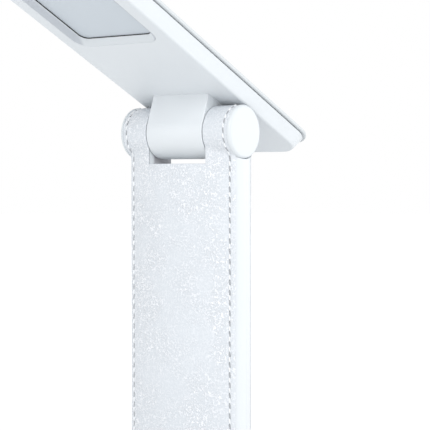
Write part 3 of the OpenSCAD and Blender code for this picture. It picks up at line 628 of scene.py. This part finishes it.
def touchMarks(finish):
    # 1 on the printed marks: a switch ring with its bar, a small and a large brightness dot;
    # each is the distance from its own line or centre, cut off at half the line's width
    t = touchMarkSizes
    across, ahead = finish.along("X"), finish.along("Y") - t["centre"]
    fromCentre = (across * across + ahead * ahead) ** 0.5
    inside = lambda value, limit: finish.between(
        value, limit - t["soft"], limit + t["soft"], 1.0, 0.0)
    opening = inside(abs(across), t["gap"]) * (ahead > 0.0)
    ring = inside(abs(fromCentre - t["ring"]), t["line"]) * (1 - opening)
    barFrom, barTo = t["bar"]
    bar = inside(abs(across), t["line"]) * inside(
        abs(ahead - (barFrom + barTo) / 2), (barTo - barFrom) / 2)
    dots = [inside(((across - x) * (across - x) + ahead * ahead) ** 0.5, radius)
            for x, radius in ((-t["apart"], t["dimDot"]), (t["apart"], t["brightDot"]))]
    return finish.between(ring + bar + dots[0] + dots[1], 0.0, 1.0)


def touchGlass(name):
    # pale film with printed marks under a hard coat, and faint wiping marks in the gloss
    finish = Finish(name)
    wipes = finish.noise(6, 5, 0.6, (1, 4, 1))
    film = finish.blend(finish.noise(20, 2), (0.60, 0.63, 0.66), (0.64, 0.67, 0.70))
    return finish.coat(
        Base_Color=finish.blend(touchMarks(finish) * 0.85, film, (0.20, 0.21, 0.23)),
        Roughness=0.16 + wipes * 0.14, Normal=finish.relief(wipes, 0.01, 0.3),
        Coat_Weight=0.3, Coat_Roughness=0.1)


whiteShade = (0.672, 0.705, 0.733)
finishes = {
    "satin_plastic": mouldedPlastic("satinPlastic", whiteShade, 0.42),
    # the second, greyer shade is painted shade on the cover's rim
    "cover_plastic": coverPlastic("coverPlastic", (0.70, 0.73, 0.75), (0.52, 0.55, 0.57)),
    "leather": pebbledLeather("pebbledLeather", (0.630, 0.664, 0.704)),
    "foot_rubber": patterned(       # fine matt grain with paler dust on it
        "footRubber", lambda f: f.between(f.noise(14, 4), 0.5, 0.8),
        (0.035, 0.036, 0.038), (0.065, 0.065, 0.068), 0.62, 0.2, 0.03, 0.6,
        lambda f: f.noise(0.5, 4)),
    "diffuser_plastic": patterned(  # unlit opal sheet: a faint fall of tone, very fine satin
        "frostedDiffuser", lambda f: f.noise(70, 2),
        (0.505, 0.555, 0.602), (0.565, 0.613, 0.66), 0.38, 0.08, 0.006, 0.4,
        lambda f: f.noise(0.25, 2)),
    "guide_acrylic": patterned(     # pale body with rows of tiny printed dots
        "guideAcrylic", lambda f: f.between(f.cells(1.6), 0.18, 0.24, 1.0, 0.0),
        (0.82, 0.88, 0.92), (0.885, 0.92, 0.945), 0.08, 0.3, 0.02, 0.5),
    "touch_film": touchGlass("touchFilm"),
    "reflector_film": patterned(
        "reflectorFilm", lambda f: f.noise(18, 3),
        (0.88, 0.89, 0.90), (0.94, 0.94, 0.95), 0.22, 0.1, 0.05, 0.3),
    "circuit_board": circuitBoard("circuitBoard", (0.012, 0.10, 0.045), (0.02, 0.19, 0.085)),
    "board_black": darkMoulding("darkMoulding"),
    "flat_cable": patterned(
        "ribbonCable", lambda f: f.waves(1.0),
        (0.55, 0.56, 0.58), (0.82, 0.83, 0.84), 0.4, 0.1, 0.05, 0.6),
    "wire_jacket": patterned(
        "wireJacket", lambda f: f.noise(2.5, 3),
        (0.02, 0.02, 0.022), (0.05, 0.05, 0.052), 0.42, 0.12, 0.03, 0.5),
    "foam_tape": patterned(
        "foamTape", lambda f: f.between(f.cells(0.6), 0.1, 0.5),
        (0.02, 0.02, 0.022), (0.07, 0.07, 0.072), 0.8, 0.1, 0.12, 0.8),
    "battery_foil": crinkledFoil("batteryFoil"),
    "led_phosphor": patterned(
        "ledPhosphor", lambda f: f.noise(0.2, 3),
        (0.86, 0.66, 0.10), (0.94, 0.80, 0.22), 0.5, 0.2, 0.03, 0.5),
    "steel": brushedMetal("turnedSteel", (0.55, 0.56, 0.57), 0.32, (1, 8, 8)),
    "screw_steel": brushedMetal("screwSteel", (0.42, 0.43, 0.45), 0.36, (4, 4, 1)),
    "cast_aluminium": castMetal("castAluminium", (0.60, 0.61, 0.62)),
    "sheet_aluminium": brushedMetal("sheetAluminium", (0.72, 0.73, 0.74), 0.34, (10, 1, 1)),
    "washer_plastic": mouldedPlastic("washerNylon", (0.78, 0.77, 0.72), 0.5),
    # not slots of the CAD model, but finishes of single pieces
    "thread": patterned(            # slanting plies, so the light breaks along each stitch
        "waxedThread", lambda f: f.waves(0.45, "DIAGONAL", 1.5),
        (0.80, 0.82, 0.84), (0.764, 0.783, 0.802), 0.5, 0.12, 0.05, 0.7),
    # dark finish of the rings that stand in for the shade in gaps: painted shadow
    "gap": darkMoulding("gapShadowMoulding"),
    # the end caps' plastic is the satin white painted darker, painted shade against the key light
    # that falls full on their faces
    "cap": mouldedPlastic("capPlasticPaintedShade", (0.625, 0.66, 0.685), 0.42),
    # the third shade is the painted shadow on the notch walls
    "casing": casingPlastic("casingPlastic", whiteShade, (0.40, 0.40, 0.43)),
    # the second shade is painted shade on the frame's long sides
    "frame": framePlastic("framePlastic", (0.66, 0.695, 0.72), (0.49, 0.52, 0.56)),
}


def dress(piece, finishName):
    # that finish becomes the piece's only one
    piece.data.materials.clear()
    piece.data.materials.append(finishes[finishName])


for part in frame["record"]["subparts"]:
    for materialSlot in nodes[part["node"]].material_slots:
        materialSlot.material = finishes[part["material_slot"]]
for name in ("arm_front_casing", "arm_rear_casing"):
    dress(nodes[name], "casing")
print("finishes made:", len(finishes))


# The head: lower shell, cover and both knuckles.

headShellSizes = {
    "shell": {"halfWidth": 31.4, "front": -163.4, "back": 51.4, "corner": 10.6},
    "window": {"halfWidth": 24.6, "front": -156.4, "back": -64.5, "corner": 7.0},
    "underside": 13.84, "floor": 15.44, "frameTop": 16.94, "rim": 20.64,
    "slope": 3.6,           # how far the sides lean out between underside and rim
    "wall": 1.6,
    "edgeRadius": 1.6, "rimRadius": 0.15, "bevelRadius": 0.3,
}


def makeHeadShell():
    # one closed skin: window bevel, underside, leaning side, rim, then back inside
    s = headShellSizes
    slopeAt = lambda height: s["slope"] * (height - s["underside"]) / (s["rim"] - s["underside"])
    outside = roundedProfile([
        (-6.0, s["underside"]), (0.0, s["underside"], s["edgeRadius"]),
        (s["slope"], s["rim"], s["rimRadius"]), (s["slope"] - s["wall"], s["rim"]),
        (slopeAt(s["floor"]) - s["wall"], s["floor"])], 9)
    inWindow = roundedProfile([
        (1.0, s["floor"]), (1.0, s["frameTop"]), (0.0, s["frameTop"]),
        (0.0, s["underside"], s["bevelRadius"]), (0.8, s["underside"])], 5)
    windowRings = boxOutline(s["window"], inWindow, 12)
    shellRings = boxOutline(s["shell"], outside[1:], 12)
    rings = placeInHead(np.concatenate([windowRings, shellRings]))
    steadyShading(addRings("headShell", rings, "head", "satin_plastic", ["head_shell"],
                           looped=True))


frameSizes = {
    "outer": -0.06, "low": 13.93, "inner": -3.1, "bevelTop": 16.44, "high": 16.9,
    "lead": 0.35, "leadRise": 0.1, "leadRadius": 0.12,
}


def makeWindowFrame():
    # grey insert whose bevel leads in to the diffuser; its profile goes round the window
    f = frameSizes
    profile = roundedProfile([
        (f["outer"], f["high"]), (f["outer"], f["low"] + f["leadRise"]),
        (f["outer"] - f["lead"], f["low"], f["leadRadius"]), (f["inner"], f["bevelTop"]),
        (f["inner"], f["high"])], 4)
    rings = placeInHead(boxOutline(headShellSizes["window"], profile, 12))
    return steadyShading(addRings("windowFrame", rings, "head", "satin_plastic", looped=True))


# dark rings that stand in for the shade in the gap round the diffuser and in the seam under the
# cover: painted shadow
shadowRingSizes = {
    "windowShadowRing": {"inner": -3.12, "outer": -2.5, "low": 16.38, "outerLow": 16.68, "high": 16.97,
                     "outline": headShellSizes["window"]},
    "seamShadowRing": {"inner": -2.2, "outer": -0.75, "low": 20.2, "outerLow": 20.2, "high": 21.06,
                   "outline": {"halfWidth": 35.0, "front": -167.0, "back": 55.0, "corner": 14.2}},
}


def makeShadowRing(name):
    # dark ring of four sides, a painted shadow: in the window it draws the black line of shade
    # round the diffuser, and set back in the seam between shell and cover it draws the fine shadow
    # line there
    g = shadowRingSizes[name]
    profile = np.array([(g["inner"], g["low"]), (g["inner"], g["high"]),
                        (g["outer"], g["high"]), (g["outer"], g["outerLow"])])
    rings = placeInHead(boxOutline(g["outline"], profile, 12))
    return addRings(name, rings, "head", "board_black", looped=True)


coverSizes = {
    "plate": {"halfWidth": 36.0, "front": -168.0, "back": 56.0, "corner": 14.0},
    "low": 21.04, "high": 23.04,
    "edgeRadius": 0.9, "underRadius": 0.6,
    "lipOuter": -3.4, "lipInner": -4.6, "lipLow": 19.7, "flatUnder": -5.6, "flatTop": -4.0,
}


def makeHeadCover():
    # plate with rounded rims, and under it the lip that drops into the shell
    c = coverSizes
    profile = roundedProfile([
        (c["flatUnder"], c["low"]), (c["lipInner"], c["low"]),
        (c["lipInner"], c["lipLow"]), (c["lipOuter"], c["lipLow"]),
        (c["lipOuter"], c["low"]), (0.0, c["low"], c["underRadius"]),
        (0.0, c["high"], c["edgeRadius"]), (c["flatTop"], c["high"])], 7)
    rings = placeInHead(boxOutline(c["plate"], profile, 14))
    steadyShading(addRings("headCover", rings, "head", "cover_plastic", ["head_cover"]))


knuckleSizes = {
    "radius": 13.0, "footHalf": 14.5, "endRadius": 0.55, "faceRim": 0.8, "rootPast": 0.8,
    "headReach": 13.84, "baseReach": 24.24,
}


def makeKnuckle(body, place):
    # round bar that runs on into straight flanks, carried along the hinge axis;
    # near both ends the outline draws in along its own normals by a quarter circle
    k = knuckleSizes
    reach = k[body + "Reach"]
    angle = np.linspace(math.pi, 2 * math.pi, 61)
    arc = np.stack([k["radius"] * np.cos(angle), k["radius"] * np.sin(angle)], axis=-1)
    rise = np.linspace(0, 1, 7)[1:, None]
    right = np.array([k["radius"], 0.0]) + rise * np.array(
        [k["footHalf"] - k["radius"], reach + k["rootPast"]])
    left = (right * np.array([-1.0, 1.0]))[::-1]
    outline = np.concatenate([arc, right, left])
    along = np.roll(outline, -1, axis=0) - np.roll(outline, 1, axis=0)
    normal = np.stack([along[:, 1], -along[:, 0]], axis=-1)
    normal /= np.linalg.norm(normal, axis=1, keepdims=True)
    normal[outline[:, 1] > reach] *= np.array([1.0, 0.0])
    turn = np.linspace(0, math.pi / 2, 6)
    inset = k["endRadius"] * (1 - np.sin(turn))
    lead = k["endRadius"] * (1 - np.cos(turn))
    half = hinges["knuckleHalf"]
    innermost = [k["endRadius"] + k["faceRim"]]
    insets = np.concatenate([innermost, inset, inset[::-1], innermost])
    xs = np.concatenate([[-half], -half + lead, half - lead[::-1], [half]])
    plane = outline[None] - normal[None] * insets[:, None, None]
    xs = np.broadcast_to(xs[:, None, None], plane.shape[:2] + (1,))
    rings = np.concatenate([xs, plane], axis=-1)
    steadyShading(addRings(body + "Knuckle", place(rings), body, "satin_plastic",
                           [body + "_knuckle"]))


makeHeadShell()
dress(makeWindowFrame(), "frame")
dress(makeShadowRing("windowShadowRing"), "gap")
makeHeadCover()
dress(makeShadowRing("seamShadowRing"), "gap")
makeKnuckle("head", placeInHead)
makeKnuckle("base", placeInPedestal)
print("head and knuckles made")


# The arm: leather that runs round it in one closed loop, its stitches, and the end caps.

def leatherInward(x, z, away, onBack):
    # how far the outer face lies inside the loop: quarter circles at the edges, a hollow
    # exp(-(distance / width) squared) under each row of stitches and at the butt seam on
    # the back, and crossed slow waves between
    s = leatherSizes
    beside = np.maximum(np.abs(x) - s["notchHalf"], 0)
    toEdge = np.minimum(s["halfWidth"] - np.abs(x), np.hypot(beside, away))
    near = np.clip(1 - toEdge / s["edgeRadius"], 0, 1)
    rounding = s["edgeRadius"] * (1 - np.sqrt(1 - near ** 2))
    groove = s["grooveDepth"] * np.exp(-((np.abs(x) - stitchRow) / s["grooveWidth"]) ** 2)
    seam = s["seamDepth"] * np.exp(-((z - s["seamHeight"]) / s["seamWidth"]) ** 2)
    waves = 1 + np.sin(z / 4.3 + np.sin(x / 5.1) * 2) * np.sin(x / 6.7 + np.cos(z / 9.0) * 2)
    return rounding + groove + onBack * seam + s["waviness"] * waves / 2 * (1 - near)


def makeLeather():
    # outer face = the loop, drawn in along its normal; quads between its rows and columns,
    # apart from the notches. Solidify gives it its thickness, inwards
    s = leatherSizes
    x = leatherColumns()
    y, z, normalY, normalZ, away = leatherLoop(x)
    onBack = normalY > 0.999
    inward = leatherInward(x[None, :], z, away, onBack)
    besideEdge = np.clip(1 - (s["halfWidth"] - np.abs(x)) / s["edgeRadius"], 0, 1)
    flare = s["edgeFlare"] * (1 - onBack) * np.sign(x) * besideEdge ** 3
    points = np.stack([x + flare, y - normalY * inward, z - normalZ * inward], axis=-1)
    rows, columns = y.shape
    atNotch = (away == 0) & (np.roll(away, -1, axis=0) == 0)
    inNotch = (np.abs(x[:-1] + x[1:]) / 2 < s["notchHalf"]) & atNotch[:, :-1]
    row, column = np.nonzero(~inNotch)
    rowOf = np.stack([row, row, row + 1, row + 1], axis=-1)
    columnOf = np.stack([column, column + 1, column + 1, column], axis=-1)
    quads = rowOf % rows * columns + columnOf
    used, renumbered = np.unique(quads, return_inverse=True)
    vertices = placeAtLowerHinge(points.reshape(-1, 3)[used])
    piece = addPiece("leatherWrap", vertices, renumbered.reshape(-1, 4).tolist(), "arm",
                     "leather", ["leather_strip"], sharpAngle=80)
    layout = piece.data.uv_layers.new(name="leatherLayout")
    flatUv = np.stack([stitchDistance[rowOf], x[columnOf]], axis=-1) * layoutScale
    layout.data.foreach_set("uv", flatUv.reshape(-1).astype(np.float32))
    wall = piece.modifiers.new("leather thickness", "SOLIDIFY")
    wall.thickness, wall.offset = s["thickness"] * mm, -1


def makeStitches():
    # every stitch is a short thread that follows the loop: across = slant * along + radius
    # * cos, up = rise that dives into a hole at both ends + radius * sin
    s = stitchSizes
    centre = (np.arange(stitchCount) + 0.5) * stitchStep
    t = np.linspace(-0.97, 0.97, 9)
    angle = np.linspace(0, 2 * math.pi, 9)[:-1]
    along = t * s["length"] / 2
    radius = s["radius"] * np.sqrt(1 - t ** 4)
    lift = s["rise"] - s["dive"] * t ** 6 - leatherSizes["grooveDepth"]
    spot = (centre[:, None] + along[None, :]) % stitchDistance[-1]
    y, z, normalY, normalZ = [np.interp(spot, stitchDistance, part)[:, :, None]
                              for part in stitchPath]
    up = lift[:, None] + radius[:, None] * np.sin(angle)
    across = stitchRow + s["slant"] * along[:, None] + radius[:, None] * np.cos(angle) + 0 * y
    right = np.stack([across, y + normalY * up, z + normalZ * up], axis=-1).reshape(-1, 3)
    oneStitch = ringFaces(len(t), len(angle))
    starts = range(0, len(right), len(t) * len(angle))
    faces = [tuple(start + index for index in face) for start in starts for face in oneStitch]
    vertices, faces = bothSides(right, facesOutward(right, faces))
    return addPiece("leatherStitches", placeAtLowerHinge(vertices), faces, "arm", "leather",
                    sharpAngle=60)


endCapSizes = {
    "inside": 32.1, "outside": 34.28, "radius": 13.1, "rim": 1.6, "neck": 11.2,
    "dome": 0.12, "domeRadius": 11.5, "flatTo": 9.0, "middle": 0.5, "around": 72,
}


def makeEndCaps(end, place):
    # profile of a slightly domed button turned round the hinge axis, on both sides; the
    # dome falls by the square of the distance from its middle
    c = endCapSizes
    rimAt = c["outside"] - c["dome"]
    edge = roundedProfile([
        (c["inside"], c["neck"]), (c["inside"] + 0.25, c["radius"], 0.15),
        (rimAt, c["radius"], c["rim"]), (rimAt, c["flatTo"])], 8)
    fromMiddle = np.linspace(c["flatTo"], c["middle"], 8)
    fall = c["dome"] * (fromMiddle / c["domeRadius"]) ** 2
    face = np.stack([c["outside"] - fall, fromMiddle], axis=-1)
    profile = np.concatenate([[(c["inside"], c["middle"])], edge[:-1], face])
    rings = latheRings(profile, c["around"])
    right = rings.reshape(-1, 3)
    vertices, faces = bothSides(right, facesOutward(right, ringFaces(*rings.shape[:2])))
    return addPiece(end + "EndCaps", place(vertices), faces, "arm", "satin_plastic",
                    [end + "_end_caps"], sharpAngle=60)


makeLeather()
dress(makeStitches(), "thread")
for end, place in (("upper", placeAtUpperHinge), ("lower", placeAtLowerHinge)):
    dress(makeEndCaps(end, place), "cap")
print("leather, stitches and end caps made")


# The base: shell with its openings, tray, rubber ring and touch panel.

baseSizes = {
    "shell": {"halfWidth": 38.0, "front": -106.0, "back": 106.0, "corner": 13.0},
    "tray": {"halfWidth": 39.0, "front": -107.0, "back": 107.0, "corner": 14.0},
    "shellLow": 4.9, "slopeFrom": 12.0, "top": 18.0, "slope": 3.6, "wall": 1.8,
    "shoulderRadius": 9.0, "topRadius": 1.6, "rimRadius": 0.35,
    "trayLow": 1.5, "trayHigh": 4.5, "trayRadius": 1.1, "trayFloor": 2.0,
    "lip": -3.0, "lipInner": -4.5, "lipHigh": 6.1,
    "flat": -8.0, "ceilingFlat": -14.0,     # insets where the flat caps of a profile start
}
footSizes = {
    "outer": {"halfWidth": 32.5, "front": -100.5, "back": 100.5, "corner": 10.75},
    "inner": {"halfWidth": 21.5, "front": -89.5, "back": 89.5, "corner": 2.0},
    "height": 2.2, "edgeRadius": 0.5, "overlap": 3.0,
}
touchSizes = {
    "outline": {"halfWidth": 23.0, "front": -90.5, "back": -75.5, "corner": 4.0},
    "depth": 1.0, "below": 0.04, "gap": 0.08, "edgeRadius": 0.22,
    "dish": 0.22, "dishFrom": -1.4, "dishWidth": 5.2, "flatUnder": -3.6,
}
portSizes = {
    "height": 9.55, "usb": (0.0, 9.44, 3.7), "slide": (21.0, 8.1, 2.5), "lens": (-18.0, 2.6, 2.6),
}


def slotCutter(x, width, height):
    # flat slot with round ends that runs through the back wall
    outline = {"halfWidth": width / 2, "front": -height / 2, "back": height / 2,
               "corner": height / 2 - 0.001}
    rings = boxOutline(outline, np.array([(0.0, -4.0), (0.0, 4.0)]), 12)
    turned = np.stack([rings[..., 0] + x, baseSizes["shell"]["back"] + rings[..., 2],
                       rings[..., 1] + portSizes["height"]], axis=-1)
    return addRings("slotCutter", turned, None, None)


def makeBaseShell():
    # outside and inside skins in one profile, from the ceiling inside to the top outside
    s = baseSizes
    rise, ceiling = s["top"] - s["slopeFrom"], s["top"] - s["wall"]
    inner = s["slope"] * (rise - s["wall"]) / rise
    profile = roundedProfile([
        (s["ceilingFlat"], ceiling), (-s["wall"] - inner, ceiling), (-s["wall"], s["slopeFrom"]),
        (-s["wall"], s["shellLow"]), (0.0, s["shellLow"], s["rimRadius"]),
        (0.0, s["slopeFrom"], s["shoulderRadius"]), (-s["slope"], s["top"], s["topRadius"]),
        (s["flat"], s["top"])], 9)
    shell = addRings("baseShell", boxOutline(s["shell"], profile, 14), "base", "satin_plastic",
                     ["base_shell"])
    seat = addRings("seatCutter", boxOutline(touchSizes["outline"], np.array(
        [(0.03, s["top"] - touchSizes["depth"]), (0.03, s["top"] + 1)]), 10), None, None)
    cutOut(shell, [seat] + [slotCutter(*portSizes[name]) for name in ("usb", "slide", "lens")])
    steadyShading(shell)


def makeBaseTray():
    # flat pan whose rim shows under the seam, and the lip that the shell sits round
    s = baseSizes
    profile = roundedProfile([
        (s["flat"], s["trayLow"]), (0.0, s["trayLow"], s["trayRadius"]),
        (0.0, s["trayHigh"], s["rimRadius"]), (s["lip"], s["trayHigh"]),
        (s["lip"], s["lipHigh"]), (s["lipInner"], s["lipHigh"]),
        (s["lipInner"], s["trayLow"] + s["trayFloor"]),
        (s["flat"], s["trayLow"] + s["trayFloor"])], 7)
    steadyShading(addRings("baseTray", boxOutline(s["tray"], profile, 14), "base",
                           "satin_plastic", ["base_tray"]))


def makeFootRing():
    # rubber band under the base's edge, with rounded lower edges
    f = footSizes
    edge = roundedProfile([(-f["overlap"], 0.0), (0.0, 0.0, f["edgeRadius"]),
                           (0.0, f["height"]), (-f["overlap"], f["height"])], 5)
    inside = edge[::-1] * np.array([-1.0, 1.0])
    rings = np.concatenate([boxOutline(f["outer"], edge, 10),
                            boxOutline(f["inner"], inside, 10)])
    addRings("footRing", rings, "base", "foot_rubber", ["foot_ring"], looped=True)


def makeTouchPanel():
    # thin plate with softened edges, whose top is dished towards its middle: with u from 0
    # to 1 across the slope, it falls by dish * u squared * (3 - 2 u)
    t = touchSizes
    high, low = baseSizes["top"] - t["below"], baseSizes["top"] - t["depth"] + 0.02
    profile = roundedProfile([
        (t["flatUnder"], low), (-t["gap"], low), (-t["gap"], high, t["edgeRadius"]),
        (t["dishFrom"], high)], 6)
    u = np.linspace(0, 1, 7)[1:]
    fall = t["dish"] * u ** 2 * (3 - 2 * u)
    slope = np.stack([t["dishFrom"] - u * t["dishWidth"], high - fall], axis=-1)
    rings = np.concatenate([boxOutline(t["outline"], profile, 10),
                            boxOutline(t["outline"], slope, 10, np.linspace(4.0, 7.2, 6))])
    addRings("touchPanel", rings, "base", "touch_film", ["touch_panel"])


makeBaseShell()
makeBaseTray()
makeFootRing()
makeTouchPanel()
print("base made")


# The stage: pale floor, soft lights and a camera at the photograph's viewing angle.

stageSizes = {"floorRadius": 7.0, "floorRings": 24, "floorAround": 96}
lightSettings = {
    "world": 1.0,
    "key": {"place": (1.75, -1.3, 1.35), "size": 1.2, "power": 23.5},
    "fill": {"place": (-1.3, -1.9, 0.6), "size": 0.8, "power": 3.0},
    "rim": {"place": (1.5, 2.0, 0.5), "size": 1.2, "power": 10.0},
}
cameraSettings = {
    "place": (0.4257, -0.4732, 0.21664), "yaw": 36.63, "pitch": -1.66, "lens": 117.2,
}


def makeFloor():
    # disc of rings: radius = floor radius * (number / count) squared. It glows faintly, more
    # so away from the lamp, and stays as pale there as in the photo
    s = stageSizes
    radius = s["floorRadius"] * (np.arange(1, s["floorRings"] + 1) / s["floorRings"]) ** 2
    angle = np.linspace(0, 2 * math.pi, s["floorAround"], endpoint=False)
    x, y = radius[:, None] * np.cos(angle), radius[:, None] * np.sin(angle)
    points = np.stack([x, y, 0 * x], axis=-1).reshape(-1, 3)
    around = s["floorAround"]
    faces = ringFaces(len(radius), around)[:-1]
    mesh = bpy.data.meshes.new("floor")
    mesh.from_pydata(points.tolist(), [], [tuple(face[::-1]) for face in faces])
    floor = addObject("floor", mesh)
    paper = Finish("palePaper")
    fibres = paper.noise(1.2, 4)
    clouds = paper.noise(260, 2)
    fromLamp = paper.node("ShaderNodeVectorMath", {"operation": "LENGTH"},
                          {0: paper.place()}, output="Value")
    lit = paper.between(fromLamp, 0.35, 1.0)
    floor.data.materials.append(paper.coat(
        Base_Color=paper.blend(clouds, (0.83, 0.84, 0.845), (0.86, 0.865, 0.87)),
        Roughness=0.85 + (fibres - 0.5) * 0.1, Normal=paper.relief(fibres, 0.02, 0.3),
        Emission_Color=paper.blend(lit, (0.1, 0.1, 0.1), (1.0, 1.0, 1.0)), Emission_Strength=0.25))


def addLight(name, settings):
    # square lamp aimed at the middle of the part
    lamp = bpy.data.lights.new(name, "AREA")
    lamp.size, lamp.energy = settings["size"], settings["power"]
    holder = addObject(name, lamp)
    holder.location = settings["place"]
    aim = Vector((0.0, 0.0, 0.15)) - Vector(settings["place"])
    holder.rotation_euler = aim.to_track_quat("-Z", "Y").to_euler()


def addWorld():
    # even white light from all round
    world = bpy.data.worlds.new("softStudio")
    world.use_nodes = True
    background = world.node_tree.nodes["Background"]
    background.inputs["Color"].default_value = (1, 1, 1, 1)
    background.inputs["Strength"].default_value = lightSettings["world"]
    bpy.context.scene.world = world


def addCamera():
    # looking = (-sin yaw cos pitch, cos yaw cos pitch, sin pitch); the lens is in millimetres
    c = cameraSettings
    camera = addObject("photoCamera", bpy.data.cameras.new("photoCamera"))
    yaw, pitch = math.radians(c["yaw"]), math.radians(c["pitch"])
    looking = Vector((-math.sin(yaw) * math.cos(pitch), math.cos(yaw) * math.cos(pitch),
                      math.sin(pitch)))
    camera.location = c["place"]
    camera.rotation_euler = looking.to_track_quat("-Z", "Y").to_euler()
    camera.data.sensor_fit, camera.data.sensor_width = "HORIZONTAL", 36.0
    camera.data.lens = c["lens"]
    camera.data.clip_start, camera.data.clip_end = 0.02, 60.0
    bpy.context.scene.camera = camera


makeFloor()
addWorld()
for name in ("key", "fill", "rim"):
    addLight(name + "Light", lightSettings[name])
addCamera()
bpy.context.scene.view_settings.view_transform = "Standard"
print("stage, lights and camera set")
